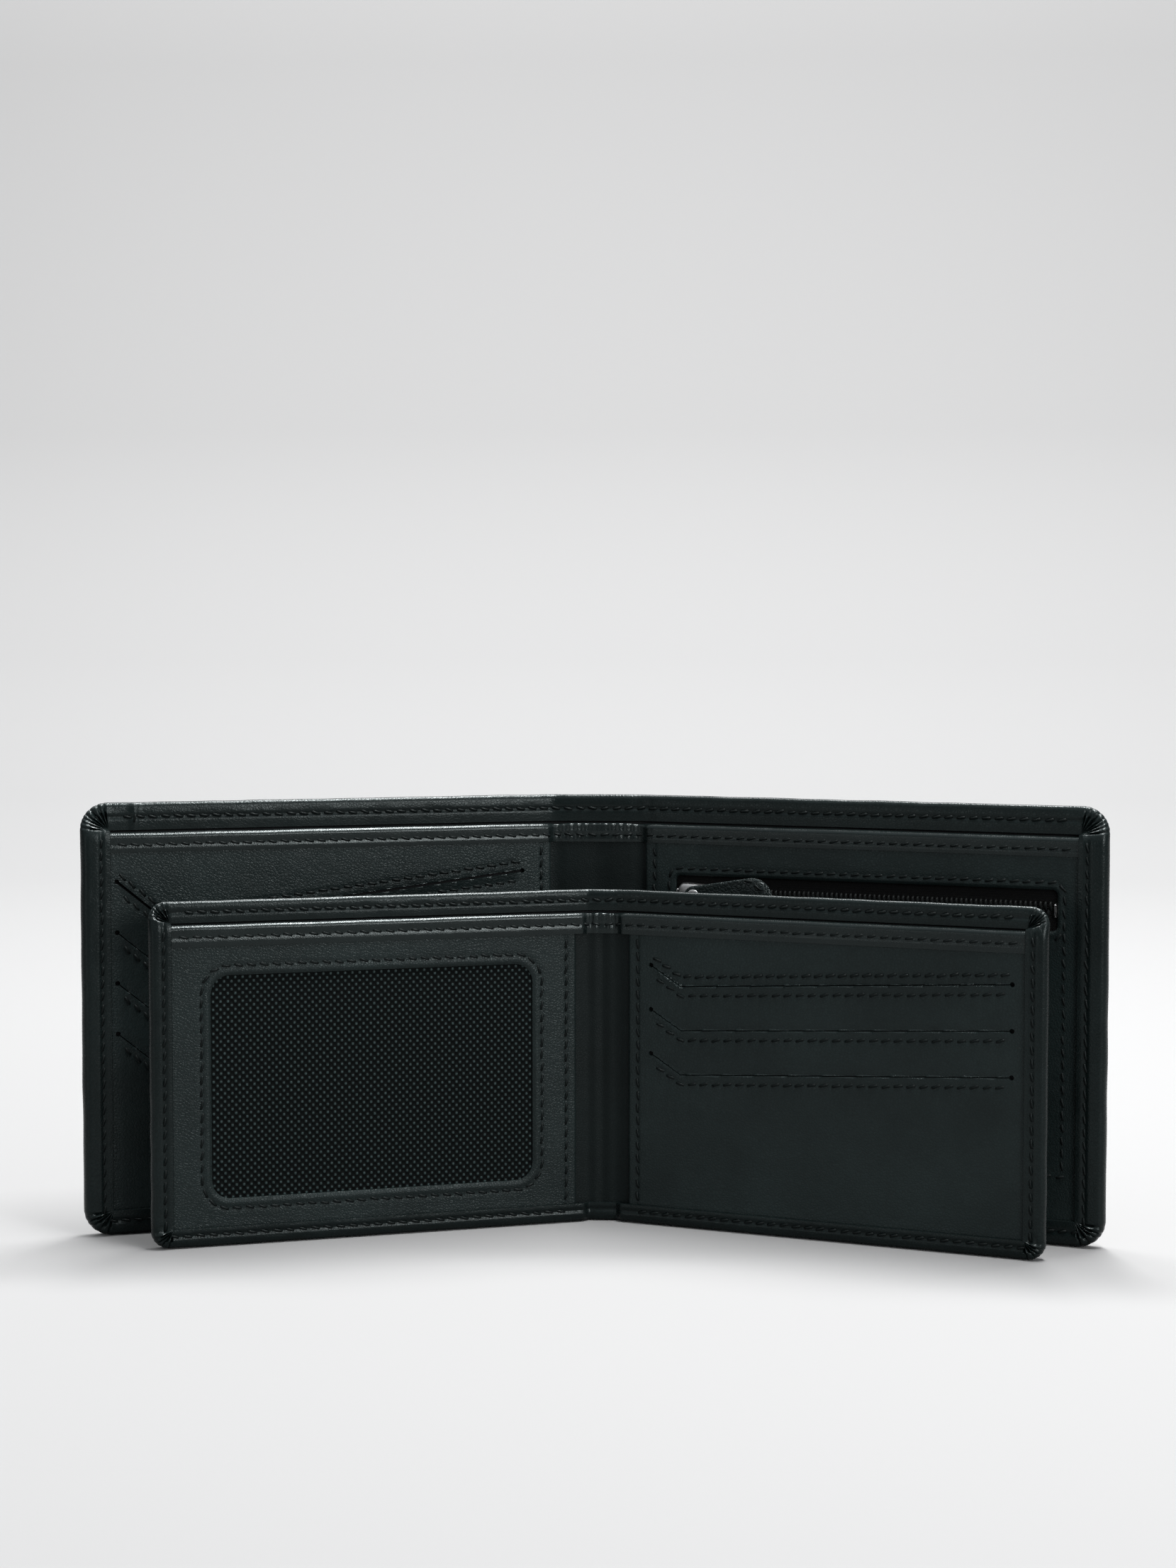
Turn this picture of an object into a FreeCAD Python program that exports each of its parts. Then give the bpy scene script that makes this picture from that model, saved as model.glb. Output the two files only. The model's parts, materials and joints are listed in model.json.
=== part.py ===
import FreeCAD, Part
import math
import os
import re
import Sketcher

# A leather bifold wallet that stands open in a V, with a smaller bifold insert in front of its spine.
# Each wallet has a rigid spine strip between two leaves.  A leaf is drawn flat, in its own frame:
# u runs outward from the hinge axis, depth runs from the back surface (0) to the front, z is up.

doc = FreeCAD.newDocument("bifold_wallet_with_insert")
sheet = doc.addObject("Spreadsheet::Sheet", "Dims")

DIMENSIONS = {
    # overall shape of the outer wallet
    "outer_axis_half": 11.3,
    "outer_axis_depth": 2.2,
    "outer_leaf": 117.6,
    "outer_tall": 104.0,
    "outer_drop": 7.1,
    "outer_setback": 1.15,
    "outer_border": 6.8,
    "outer_foot": 6.1,
    "outer_round": 6.6,
    # overall shape of the insert
    "insert_axis_half": 4.0,
    "insert_axis_depth": 0.9,
    "insert_leaf": 107.4,
    "insert_tall": 81.8,
    "insert_drop": 5.5,
    "insert_setback": 3.4,
    "insert_border": 5.1,
    "insert_foot": 4.6,
    "insert_round": 4.4,
    # how the two stand
    "rest_fold": 20.5,
    "insert_forward": 16.0,
    "insert_aside": 1.9,
    # layers of the outer wallet, from the back
    "outer_cover": 1.1,
    "outer_gap": 0.5,
    "outer_pocket_room": 0.8,
    "outer_face": 0.9,
    "outer_turn": 0.9,
    # layers of the insert, from the back
    "insert_cover": 0.9,
    "insert_gap": 0.4,
    "insert_pocket_room": 0.7,
    "insert_face": 0.8,
    "insert_turn": 0.7,
    # layers shared by both
    "lining": 0.2,
    "divider": 0.2,
    "edge_wall": 1.2,
    "hinge_gap": 0.1,
    "side_gap": 0.1,
    "hem": 1.6,
    # strip of leather bound over the top edge of each front leaf
    "bind_tall_outer": 4.7,
    "bind_tall_insert": 5.2,
    "bind_front": 0.5,
    "bind_back": 0.2,
    "bind_top": 0.6,
    # strips between the leaves
    "outer_strip": 0.7,
    "insert_strip": 0.8,
    # stitching
    "thread_wide": 0.5,
    "thread_proud": 0.15,
    "seam_inner": 2.5,
    "outer_seam_side": 4.7,
    "outer_seam_foot": 3.7,
    "insert_seam_side": 3.3,
    "insert_seam_foot": 3.0,
    "seam_top": 2.9,
    "hem_seam_outer": 3.4,
    "hem_seam_insert": 2.6,
    # card slots: a bent cut between two punched holes
    "slot_wide": 0.5,
    "slot_hole": 0.6,
    "pocket_cloth": 0.12,
    "pocket_step": 0.19,
    "pocket_margin": 2.5,
    "outer_slot_top": 85.2,
    "outer_slot_pitch": 12.2,
    "outer_slot_count": 4,
    "outer_slot_near": 8.6,
    "outer_slot_knee": 97.0,
    "outer_slot_far": 109.2,
    "outer_slot_dip": 10.2,
    "outer_pocket_deep": 44.0,
    "insert_slot_top": 63.8,
    "insert_slot_pitch": 10.8,
    "insert_slot_count": 3,
    "insert_slot_near": 9.4,
    "insert_slot_knee": 17.2,
    "insert_slot_far": 99.2,
    "insert_slot_dip": 4.8,
    "insert_pocket_deep": 37.0,
    # identity window
    "window_near": 14.4,
    "window_far": 93.0,
    "window_low": 11.2,
    "window_high": 64.2,
    "window_round": 4.4,
    "mesh_margin": 3.5,
    "mesh_thick": 0.25,
    # coin pocket and its zip
    "zip_near": 9.3,
    "zip_far": 105.7,
    "zip_mid": 79.4,
    "zip_half": 4.9,
    "zip_round": 1.0,
    "tape_half": 8.1,
    "tape_margin": 1.8,
    "tape_thick": 0.35,
    "tape_split": 0.1,
    "coil_wide": 2.0,
    "coil_thick": 1.2,
    "stop_long": 0.8,
    "stop_wide": 3.4,
    "coin_low": 16.4,
    "coin_margin": 1.6,
    "coin_cloth": 0.15,
    "slider_near": 10.5,
    "slider_long": 8.6,
    "slider_channel_half": 2.4,
    "slider_half": 3.3,
    "slider_plate_from": 4.2,
    "slider_plate_to": 5.0,
    "slider_skirt_from": 3.0,
    "stud_near": 14.8,
    "stud_round": 1.0,
    "stud_head_round": 1.7,
    "stud_to": 6.4,
    "stud_head": 0.3,
    "pull_from": 5.1,
    "pull_thick": 0.9,
    "pull_small": 2.5,
    "pull_large": 5.1,
    "pull_long": 15.5,
    "pull_clear": 0.1,
}

for row, (name, number) in enumerate(DIMENSIONS.items(), start=1):
    sheet.set(f"A{row}", name)
    sheet.set(f"B{row}", str(number))
    sheet.setAlias(f"B{row}", name)
doc.recompute()

WORD = re.compile(r"[a-z][a-z_]*")
finished = []


def bound(text):
    """An expression on the sheet's cells, from plain alias names."""
    return WORD.sub(lambda match: "Dims." + match.group(0), str(text))


def value(text):
    """The number that an expression on the sheet gives."""
    return float(sheet.evalExpression(bound(text)))


def block(name, x_span, y_span, z_span):
    """A box between three pairs of expressions, its sizes bound to the sheet."""
    box = doc.addObject("Part::Box", name)
    spans = (x_span, y_span, z_span)
    for size, (low, high) in zip(("Length", "Width", "Height"), spans):
        box.setExpression(size, bound(f"({high}) - ({low})"))
    box.Placement.Base = FreeCAD.Vector(*(value(low) for low, high in spans))
    return box


def solid(name, shape):
    """A document object that holds a shape made with Part's own functions."""
    feature = doc.addObject("Part::Feature", name)
    feature.Shape = shape
    return feature


def union(name, pieces):
    joined = doc.addObject("Part::MultiFuse", name)
    joined.Shapes = pieces
    joined.Refine = True
    return joined


def cut(name, base, tool):
    result = doc.addObject("Part::Cut", name)
    result.Base = base
    result.Tool = tool
    return result


def shared(name, base, tool):
    result = doc.addObject("Part::Common", name)
    result.Base = base
    result.Tool = tool
    return result


def finish(node, piece, place):
    """Names a sub-part and puts it where its frame stands."""
    piece.Label = node
    piece.Placement = place.multiply(piece.Placement)
    finished.append(piece)


class Wallet:
    """Layer depths and sizes that the two wallets share, as expressions on the sheet."""

    def __init__(self, name, tag, x_middle, y_axis):
        self.name = name
        self.tag = tag
        self.x_middle = x_middle
        self.y_axis = y_axis
        self.long = f"{name}_leaf"
        self.tall = f"{name}_tall"
        self.setback = f"{name}_setback"
        self.stack = (f"({name}_cover + lining + {name}_gap + divider"
                      f" + {name}_pocket_room + {name}_face + {name}_turn)")
        self.lining = (f"{name}_cover", f"{name}_cover + lining")
        self.pocket = f"{name}_cover + lining + {name}_gap + divider"
        self.divider = (f"{name}_cover + lining + {name}_gap", self.pocket)
        self.face = (f"{self.stack} - {name}_turn - {name}_face", f"{self.stack} - {name}_turn")
        self.front_top = f"({name}_tall - {name}_drop)"
        self.bind_tall = f"bind_tall_{name}"

    def depth(self, near, far):
        """The span of Y, measured from the hinge axes, between two depths."""
        return f"{self.name}_axis_depth - ({far})", f"{self.name}_axis_depth - ({near})"


class Frame:
    """The flat frame of a leaf (side -1 or 1) or of the spine (side 0)."""

    def __init__(self, wallet, side):
        self.wallet = wallet
        self.side = side
        turn = FreeCAD.Rotation(FreeCAD.Vector(0, 0, 1), -side * value("rest_fold"))
        axis_x = wallet.x_middle + side * value(f"{wallet.name}_axis_half")
        self.place = FreeCAD.Placement(FreeCAD.Vector(axis_x, wallet.y_axis, 0), turn)

    def across(self, near, far):
        """The span of X between two distances from the hinge axis."""
        if self.side < 0:
            return f"-({far})", f"-({near})"
        return near, far

    def block(self, name, across, depth, height):
        return block(name, self.across(*across), self.wallet.depth(*depth), height)

    def point(self, across, depth, height):
        """A point of the flat frame, from numbers."""
        sign = -1 if self.side < 0 else 1
        axis_depth = value(f"{self.wallet.name}_axis_depth")
        return FreeCAD.Vector(sign * across, axis_depth - depth, height)


def rounded_envelope(name, frame, inset="0"):
    """The leaf's outline, set in by a distance, as a block whose two outer corners are rounded."""
    wallet = frame.wallet
    end = f"{wallet.long} - {inset}"
    height = (inset, f"{wallet.tall} - {inset}")
    box = frame.block(name + "_block", ("0", end), ("-1", f"{wallet.stack} + 1"), height)
    doc.recompute()
    corners = []
    outer_x = frame.side * value(end)
    for index, edge in enumerate(box.Shape.Edges, start=1):
        middle = edge.CenterOfMass
        along_y = abs(edge.tangentAt(edge.FirstParameter).y) > 0.9
        if along_y and abs(middle.x - outer_x) < 0.01:
            corners.append(index)
    fillet = doc.addObject("Part::Fillet", name)
    fillet.Base = box
    radius = value(f"{wallet.name}_round - {inset}")
    fillet.Edges = [(index, radius, radius) for index in corners]
    return fillet


def inside_edge(name, frame, piece):
    """An inner layer without the corners that would come out through the rounded turned edge."""
    return shared(name, piece, rounded_envelope(name + "_outline", frame, "edge_wall"))


def cover_leaf(frame, node):
    """Rear leather with its outer and bottom edges turned round to the front."""
    wallet = frame.wallet
    rear_depth = ("0", f"{wallet.name}_cover")
    rear = frame.block(node + "_rear", ("hinge_gap", wallet.long), rear_depth, ("0", wallet.tall))
    wall_from = f"{wallet.long} - edge_wall"
    wall = frame.block(node + "_wall", (wall_from, wallet.long), ("0", wallet.stack), ("0", wallet.tall))
    turned = (f"{wallet.stack} - {wallet.name}_turn", wallet.stack)
    flap_from = f"{wallet.long} - {wallet.name}_border"
    flap = frame.block(node + "_flap", (flap_from, wallet.long), turned, ("0", wallet.tall))
    foot = frame.block(node + "_foot", (wallet.setback, wallet.long), ("0", wallet.stack), ("0", "edge_wall"))
    foot_flap_high = f"{wallet.name}_foot"
    foot_flap = frame.block(node + "_foot_flap", (wallet.setback, wallet.long), turned, ("0", foot_flap_high))
    whole = union(node + "_whole", [rear, wall, flap, foot, foot_flap])
    finish(node, shared(node, whole, rounded_envelope(node + "_outline", frame)), frame.place)


def inner_end(wallet):
    """How far out the inner layers reach, just short of the turned edge."""
    return f"{wallet.long} - edge_wall - side_gap"


def lining_leaf(frame, node):
    wallet = frame.wallet
    start = "hinge_gap" if wallet.name == "outer" else wallet.setback
    height = ("edge_wall", f"{wallet.tall} - hem")
    sheet = frame.block(node + "_sheet", (start, inner_end(wallet)), wallet.lining, height)
    finish(node, inside_edge(node, frame, sheet), frame.place)


def divider_leaf(frame, node):
    wallet = frame.wallet
    height = ("edge_wall", f"{wallet.front_top} - bind_top")
    span = (wallet.setback, inner_end(wallet))
    sheet = frame.block(node + "_sheet", span, wallet.divider, height)
    finish(node, inside_edge(node, frame, sheet), frame.place)


def binding(frame, node, span, front, back):
    """A strip over the top edge of the front leaf, in front of it, over it and behind it."""
    wallet = frame.wallet
    top = wallet.front_top
    strip = (f"{top} - {wallet.bind_tall}", top)
    front_strip = frame.block(node + "_front", span, (front, f"{front} + bind_front"), strip)
    back_strip = frame.block(node + "_back", span, (f"{back} - bind_back", back), strip)
    cap_depth = (f"{back} - bind_back", f"{front} + bind_front")
    cap = frame.block(node + "_cap", span, cap_depth, (f"{top} - bind_top", top))
    finish(node, union(node, [front_strip, back_strip, cap]), frame.place)


def binding_leaf(frame, node):
    wallet = frame.wallet
    span = (wallet.setback, f"{wallet.long} - {wallet.name}_border - side_gap")
    binding(frame, node, span, wallet.face[1], wallet.divider[0])


def seam(name, frame, across, depth, height):
    """A flat run of thread on a surface at the given depth."""
    return frame.block(name, across, (depth, f"{depth} + thread_proud"), height)


def seams_leaf(frame, node):
    """Runs of thread along the turned edges, the binding, the panel's inner edge and the rear hem."""
    wallet = frame.wallet
    name = wallet.name
    half = "thread_wide / 2"
    side_at = f"{wallet.long} - {name}_seam_side"
    foot_at = f"{name}_seam_foot"
    top_at = f"{wallet.front_top} - seam_top"
    inner_at = f"{wallet.setback} + seam_inner"
    hem_at = f"{wallet.tall} - hem_seam_{name}"
    flap_from = f"{wallet.long} - {name}_border - side_gap"
    runs = [
        seam(node + "_side", frame, (f"{side_at} - {half}", f"{side_at} + {half}"), wallet.stack,
             (f"{foot_at} + thread_wide", f"{wallet.tall} - {name}_round")),
        seam(node + "_foot", frame, (inner_at, side_at), wallet.stack,
             (f"{foot_at} - {half}", f"{foot_at} + {half}")),
        seam(node + "_top", frame, (wallet.setback, flap_from), f"{wallet.face[1]} + bind_front",
             (f"{top_at} - {half}", f"{top_at} + {half}")),
        seam(node + "_inner", frame, (f"{inner_at} - {half}", f"{inner_at} + {half}"), wallet.face[1],
             (f"{name}_foot + thread_wide", f"{wallet.front_top} - {wallet.bind_tall} - thread_wide")),
        seam(node + "_hem", frame, (wallet.setback, flap_from), wallet.lining[1],
             (f"{hem_at} - {half}", f"{hem_at} + {half}")),
    ]
    group = doc.addObject("Part::Compound", node)
    group.Links = runs
    finish(node, group, frame.place)


def panel_box(frame, name):
    wallet = frame.wallet
    height = ("edge_wall", f"{wallet.front_top} - bind_top")
    box = frame.block(name + "_box", (wallet.setback, inner_end(wallet)), wallet.face, height)
    return inside_edge(name, frame, box)


def bent_cut(frame, near, knee, far, height, dip):
    """A slot: a narrow bent cut that dips at its knee, with a punched hole at each end."""
    wallet = frame.wallet
    before = value(wallet.face[0]) - 1
    through = value(wallet.face[1]) - before + 1
    half = value("slot_wide") / 2
    route = [(near, height), (knee, height - dip), (far, height)]
    upper = [frame.point(across, before, up + half) for across, up in route]
    lower = [frame.point(across, before, up - half) for across, up in reversed(route)]
    outline = Part.makePolygon(upper + lower + upper[:1])
    forward = FreeCAD.Vector(0, -1, 0)
    cutter = Part.Face(outline).extrude(forward * through)
    for across in (near, far):
        centre = frame.point(across, before, height)
        cutter = cutter.fuse(Part.makeCylinder(value("slot_hole"), through, centre, forward))
    return cutter


def card_panel(frame, node):
    """Front leather with a row of card slots."""
    name = frame.wallet.name
    first = value(f"{name}_slot_top")
    pitch = value(f"{name}_slot_pitch")
    near = value(f"{name}_slot_near")
    knee = value(f"{name}_slot_knee")
    far = value(f"{name}_slot_far")
    dip = value(f"{name}_slot_dip")
    cutters = []
    for index in range(int(value(f"{name}_slot_count"))):
        cutters.append(bent_cut(frame, near, knee, far, first - index * pitch, dip))
    slots = solid(node + "_slots", Part.makeCompound(cutters))
    finish(node, cut(node, panel_box(frame, node + "_sheet"), slots), frame.place)


def card_pockets(frame, prefix):
    """Cloth pockets behind the slots, one behind the other."""
    wallet = frame.wallet
    name = wallet.name
    span = (f"{name}_slot_near - pocket_margin", f"{name}_slot_far + pocket_margin")
    for index in range(int(value(f"{name}_slot_count"))):
        near = f"{wallet.pocket} + pocket_step / 3 + {index} * pocket_step"
        mouth = f"{name}_slot_top - {index} * {name}_slot_pitch"
        height = (f"{mouth} - {name}_pocket_deep", f"{mouth} + pocket_margin")
        node = f"{prefix}_{index + 1}"
        depth = (near, f"{near} + pocket_cloth")
        finish(node, frame.block(node, span, depth, height), frame.place)


def rectangle(sketch, label, corners):
    """Four constrained lines between two corners, whose places are bound to the sheet."""
    left, right, low, high = corners
    places = [(left, low), (right, low), (right, high), (left, high)]
    points = [FreeCAD.Vector(value(x), value(y), 0) for x, y in places]
    first = sketch.GeometryCount
    for index in range(4):
        sketch.addGeometry(Part.LineSegment(points[index], points[(index + 1) % 4]), False)
    for index in range(4):
        line = first + index
        following = first + (index + 1) % 4
        sketch.addConstraint(Sketcher.Constraint("Coincident", line, 2, following, 1))
        direction = "Horizontal" if index % 2 == 0 else "Vertical"
        sketch.addConstraint(Sketcher.Constraint(direction, line))
    opposite = first + 2
    limits = (
        ("left", "DistanceX", first, left),
        ("low", "DistanceY", first, low),
        ("right", "DistanceX", opposite, right),
        ("high", "DistanceY", opposite, high),
    )
    for name, kind, line, text in limits:
        number = sketch.addConstraint(Sketcher.Constraint(kind, -1, 1, line, 1, value(text)))
        sketch.renameConstraint(number, f"{label}_{name}")
        sketch.setExpression(f"Constraints.{label}_{name}", bound(text))


def framed_panel(frame, node, opening, radius):
    """Front leather with one rounded opening, drawn as a sketch and padded."""
    wallet = frame.wallet
    body = doc.addObject("PartDesign::Body", node + "_body")
    plane = [item for item in body.Origin.OriginFeatures if item.Role == "XZ_Plane"][0]
    sketch = body.newObject("Sketcher::SketchObject", node + "_outline")
    sketch.AttachmentSupport = [(plane, "")]
    sketch.MapMode = "FlatFace"
    offset = value(f"{wallet.face[0]} - {wallet.name}_axis_depth")
    sketch.AttachmentOffset = FreeCAD.Placement(FreeCAD.Vector(0, 0, offset), FreeCAD.Rotation())
    top = f"{wallet.front_top} - bind_top"
    rectangle(sketch, "sheet", (*frame.across(wallet.setback, inner_end(wallet)), "edge_wall", top))
    near, far, low, high = opening
    rectangle(sketch, "opening", (*frame.across(near, far), low, high))
    pad = body.newObject("PartDesign::Pad", node + "_pad")
    pad.Profile = sketch
    pad.setExpression("Length", bound(f"{wallet.name}_face"))
    doc.recompute()
    sides = [value(text) for text in frame.across(near, far)]
    corners = []
    for index, edge in enumerate(pad.Shape.Edges, start=1):
        middle = edge.CenterOfMass
        along_y = abs(edge.tangentAt(edge.FirstParameter).y) > 0.9
        at_side = min(abs(middle.x - side) for side in sides) < 0.01
        if along_y and at_side:
            corners.append(f"Edge{index}")
    fillet = body.newObject("PartDesign::Fillet", node + "_round")
    fillet.Base = (pad, corners)
    fillet.setExpression("Radius", bound(radius))
    body.Tip = fillet
    doc.recompute()
    finish(node, inside_edge(node + "_trimmed", frame, body), frame.place)


def spine(wallet):
    """The strips between the two leaves: cover, lining, front strip, binding and thread."""
    frame = Frame(wallet, 0)
    name = wallet.name
    half = f"({name}_axis_half - hinge_gap)"
    span = (f"-{half}", half)
    tag = wallet.tag
    strip_from = f"{wallet.divider[0]}"
    strip_to = f"{wallet.divider[0]} + {name}_strip"
    rear = frame.block("rear_strip", span, ("0", f"{name}_cover"), ("0", wallet.tall))
    foot = frame.block("foot_strip", span, ("0", f"{strip_to} + bind_front"), ("0", "edge_wall"))
    finish(tag + "cover_spine", union(tag + "cover_spine", [rear, foot]), frame.place)
    height = ("edge_wall", f"{wallet.tall} - hem")
    finish(tag + "note_lining_spine", frame.block("lining", span, wallet.lining, height), frame.place)
    strip_height = ("edge_wall", f"{wallet.front_top} - bind_top")
    strip = frame.block("strip", span, (strip_from, strip_to), strip_height)
    finish(tag + "centre_strip", strip, frame.place)
    binding(frame, tag + "binding_spine", span, strip_to, strip_from)
    top_at = f"{wallet.front_top} - seam_top"
    hem_at = f"{wallet.tall} - hem_seam_{name}"
    runs = [
        seam(name + "_spine_top_seam", frame, span, f"{strip_to} + bind_front",
             (f"{top_at} - thread_wide / 2", f"{top_at} + thread_wide / 2")),
        seam(name + "_spine_hem_seam", frame, span, wallet.lining[1],
             (f"{hem_at} - thread_wide / 2", f"{hem_at} + thread_wide / 2")),
    ]
    group = doc.addObject("Part::Compound", tag + "thread_spine")
    group.Links = runs
    finish(tag + "thread_spine", group, frame.place)


def leaf(wallet, side):
    """What both leaves of both wallets have; returns the leaf's frame."""
    frame = Frame(wallet, side)
    hand = "left" if side < 0 else "right"
    tag = wallet.tag
    cover_leaf(frame, f"{tag}cover_{hand}")
    lining_leaf(frame, f"{tag}note_lining_{hand}")
    divider_leaf(frame, f"{tag}divider_{hand}")
    binding_leaf(frame, f"{tag}binding_{hand}")
    seams_leaf(frame, f"{tag}thread_{hand}")
    return frame


def identity_window(frame):
    """A framed window with a woven mesh behind it and a cloth back to its pocket."""
    wallet = frame.wallet
    opening = ("window_near", "window_far", "window_low", "window_high")
    framed_panel(frame, "id_frame_panel", opening, "window_round")
    span = ("window_near - mesh_margin", "window_far + mesh_margin")
    height = ("window_low - mesh_margin", "window_high + mesh_margin")
    face = wallet.face[0]
    mesh = frame.block("mesh", span, (f"{face} - mesh_thick", face), height)
    finish("id_window_mesh", mesh, frame.place)
    back = (f"{wallet.pocket} + pocket_step / 3", f"{wallet.pocket} + pocket_step / 3 + coin_cloth")
    finish("id_pocket_back", frame.block("pocket_back", span, back, height), frame.place)


def zip_parts(frame):
    """Tapes, coils and stops of the coin pocket's zip, with the bag behind it."""
    wallet = frame.wallet
    face = wallet.face[0]
    tape_span = ("zip_near - tape_margin", "zip_far + tape_margin")
    tape_depth = (f"{face} - tape_thick", face)
    coil_span = ("zip_near + stop_long + side_gap", "zip_far - stop_long - side_gap")
    coil_depth = (face, f"{face} + coil_thick")
    rows = {
        "upper": ("zip_mid + tape_split", "zip_mid + tape_half", "zip_mid + tape_split + coil_wide"),
        "lower": ("zip_mid - tape_split", "zip_mid - tape_half", "zip_mid - tape_split - coil_wide"),
    }
    for row_name, (inner, outer, coil_edge) in rows.items():
        tape_height = (inner, outer) if row_name == "upper" else (outer, inner)
        coil_height = (inner, coil_edge) if row_name == "upper" else (coil_edge, inner)
        tape = frame.block(f"tape_{row_name}", tape_span, tape_depth, tape_height)
        finish(f"zip_tape_{row_name}", tape, frame.place)
        coil = frame.block(f"coil_{row_name}", coil_span, coil_depth, coil_height)
        finish(f"zip_coil_{row_name}", coil, frame.place)
    stop_height = ("zip_mid - stop_wide / 2", "zip_mid + stop_wide / 2")
    near_stop = ("zip_near + side_gap", "zip_near + stop_long")
    far_stop = ("zip_far - stop_long", "zip_far - side_gap")
    stops = doc.addObject("Part::Compound", "stops")
    stops.Links = [frame.block("stop_near", near_stop, coil_depth, stop_height),
                   frame.block("stop_far", far_stop, coil_depth, stop_height)]
    finish("zip_stops", stops, frame.place)
    bag_span = ("zip_near - coin_margin", "zip_far + coin_margin")
    back_depth = (f"{wallet.pocket} + pocket_step / 3", f"{wallet.pocket} + pocket_step / 3 + coin_cloth")
    bag_top = "zip_mid + zip_half + coin_margin"
    back = frame.block("bag_back", bag_span, back_depth, ("coin_low", bag_top))
    finish("coin_bag_back", back, frame.place)
    front_depth = (f"{face} - 2 * coin_cloth", f"{face} - coin_cloth")
    front = frame.block("bag_front", bag_span, front_depth, ("coin_low", "zip_mid - tape_half - side_gap"))
    finish("coin_bag_front", front, frame.place)


def zip_slider(frame):
    """A slider cap that straddles the coils, with a stud that the puller turns on."""
    span = ("slider_near", "slider_near + slider_long")
    plate_depth = ("slider_plate_from", "slider_plate_to")
    skirt_depth = ("slider_skirt_from", "slider_plate_to")
    plate_height = ("zip_mid - slider_half", "zip_mid + slider_half")
    plate = frame.block("slider_plate", span, plate_depth, plate_height)
    upper = frame.block("slider_upper", span, skirt_depth, ("zip_mid + slider_channel_half", plate_height[1]))
    lower = frame.block("slider_lower", span, skirt_depth, (plate_height[0], "zip_mid - slider_channel_half"))
    forward = FreeCAD.Vector(0, -1, 0)
    stud_at = frame.point(value("stud_near"), value("slider_plate_to - side_gap"), value("zip_mid"))
    stud_long = value("stud_to - slider_plate_to + side_gap")
    stud = Part.makeCylinder(value("stud_round"), stud_long, stud_at, forward)
    head_at = frame.point(value("stud_near"), value("stud_to - stud_head"), value("zip_mid"))
    head = Part.makeCylinder(value("stud_head_round"), value("stud_head"), head_at, forward)
    rivet = solid("slider_stud", stud.fuse(head))
    finish("zip_slider", union("slider_whole", [plate, upper, lower, rivet]), frame.place)


def zip_pull(frame):
    """A leather puller: a drop shape that widens away from its pivot hole."""
    small = value("pull_small")
    large = value("pull_large")
    long = value("pull_long")
    pivot_u = value("stud_near")
    middle_z = value("zip_mid")
    back = value("pull_from")
    lean = math.asin((large - small) / long)

    def rim(centre_u, radius, angle):
        return frame.point(centre_u + radius * math.cos(angle), back, middle_z + radius * math.sin(angle))

    upper_angle = math.pi / 2 + lean
    start_upper = rim(pivot_u, small, upper_angle)
    start_lower = rim(pivot_u, small, -upper_angle)
    end_upper = rim(pivot_u + long, large, upper_angle)
    end_lower = rim(pivot_u + long, large, -upper_angle)
    edges = [
        Part.LineSegment(start_upper, end_upper).toShape(),
        Part.Arc(end_upper, rim(pivot_u + long, large, 0), end_lower).toShape(),
        Part.LineSegment(end_lower, start_lower).toShape(),
        Part.Arc(start_lower, rim(pivot_u, small, math.pi), start_upper).toShape(),
    ]
    forward = FreeCAD.Vector(0, -1, 0)
    tab = Part.Face(Part.Wire(edges)).extrude(forward * value("pull_thick"))
    hole_at = frame.point(pivot_u, back - 1, middle_z)
    hole = Part.makeCylinder(value("stud_round + pull_clear"), value("pull_thick") + 2, hole_at, forward)
    finish("zip_pull", solid("pull", tab.cut(hole)), frame.place)


# The origin is at the middle of the footprint: the outer spine's back is the rearmost point,
# and the insert's outer edges are the foremost.
fold = math.radians(value("rest_fold"))
insert_front = "insert_cover + lining + insert_gap + divider + insert_pocket_room + insert_face + insert_turn"
insert_stack = value(insert_front)
foremost = value("insert_forward") + value("insert_leaf") * math.sin(fold)
foremost += (insert_stack - value("insert_axis_depth")) * math.cos(fold)
outer_axis_y = (foremost - value("outer_axis_depth")) / 2

outer = Wallet("outer", "", 0.0, outer_axis_y)
insert = Wallet("insert", "insert_", value("insert_aside"), outer_axis_y - value("insert_forward"))

spine(outer)
spine(insert)

outer_left = leaf(outer, -1)
card_panel(outer_left, "card_panel")
card_pockets(outer_left, "card_pocket")

outer_right = leaf(outer, 1)
coin_opening = ("zip_near", "zip_far", "zip_mid - zip_half", "zip_mid + zip_half")
framed_panel(outer_right, "coin_panel", coin_opening, "zip_round")
zip_parts(outer_right)
zip_slider(outer_right)
zip_pull(outer_right)

insert_left = leaf(insert, -1)
identity_window(insert_left)

insert_right = leaf(insert, 1)
card_panel(insert_right, "insert_card_panel")
card_pockets(insert_right, "insert_card_pocket")

doc.recompute()

for item in doc.Objects:
    if "Invalid" in item.State or "Error" in item.State:
        raise RuntimeError(f"{item.Label} did not build: {item.State}")
for piece in finished:
    if piece.Shape.isNull() or not piece.Shape.isValid() or not piece.Shape.Solids:
        raise RuntimeError(f"{piece.Label} has no sound solid")

os.makedirs("parts", exist_ok=True)
for piece in finished:
    piece.Shape.exportStep(f"parts/{piece.Label}.step")
    box = piece.Shape.BoundBox
    spans = ((box.XMin, box.XMax), (box.YMin, box.YMax), (box.ZMin, box.ZMax))
    reach = " by ".join(f"{low:.2f}..{high:.2f}" for low, high in spans)
    print(f"{piece.Label}: {len(piece.Shape.Solids)} solid, {piece.Shape.Volume:.1f} mm3, {reach}")
print("outer hinge axes at y", round(outer.y_axis, 4), "insert hinge axes at y", round(insert.y_axis, 4))
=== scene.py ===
import json
import math
from types import SimpleNamespace

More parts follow.
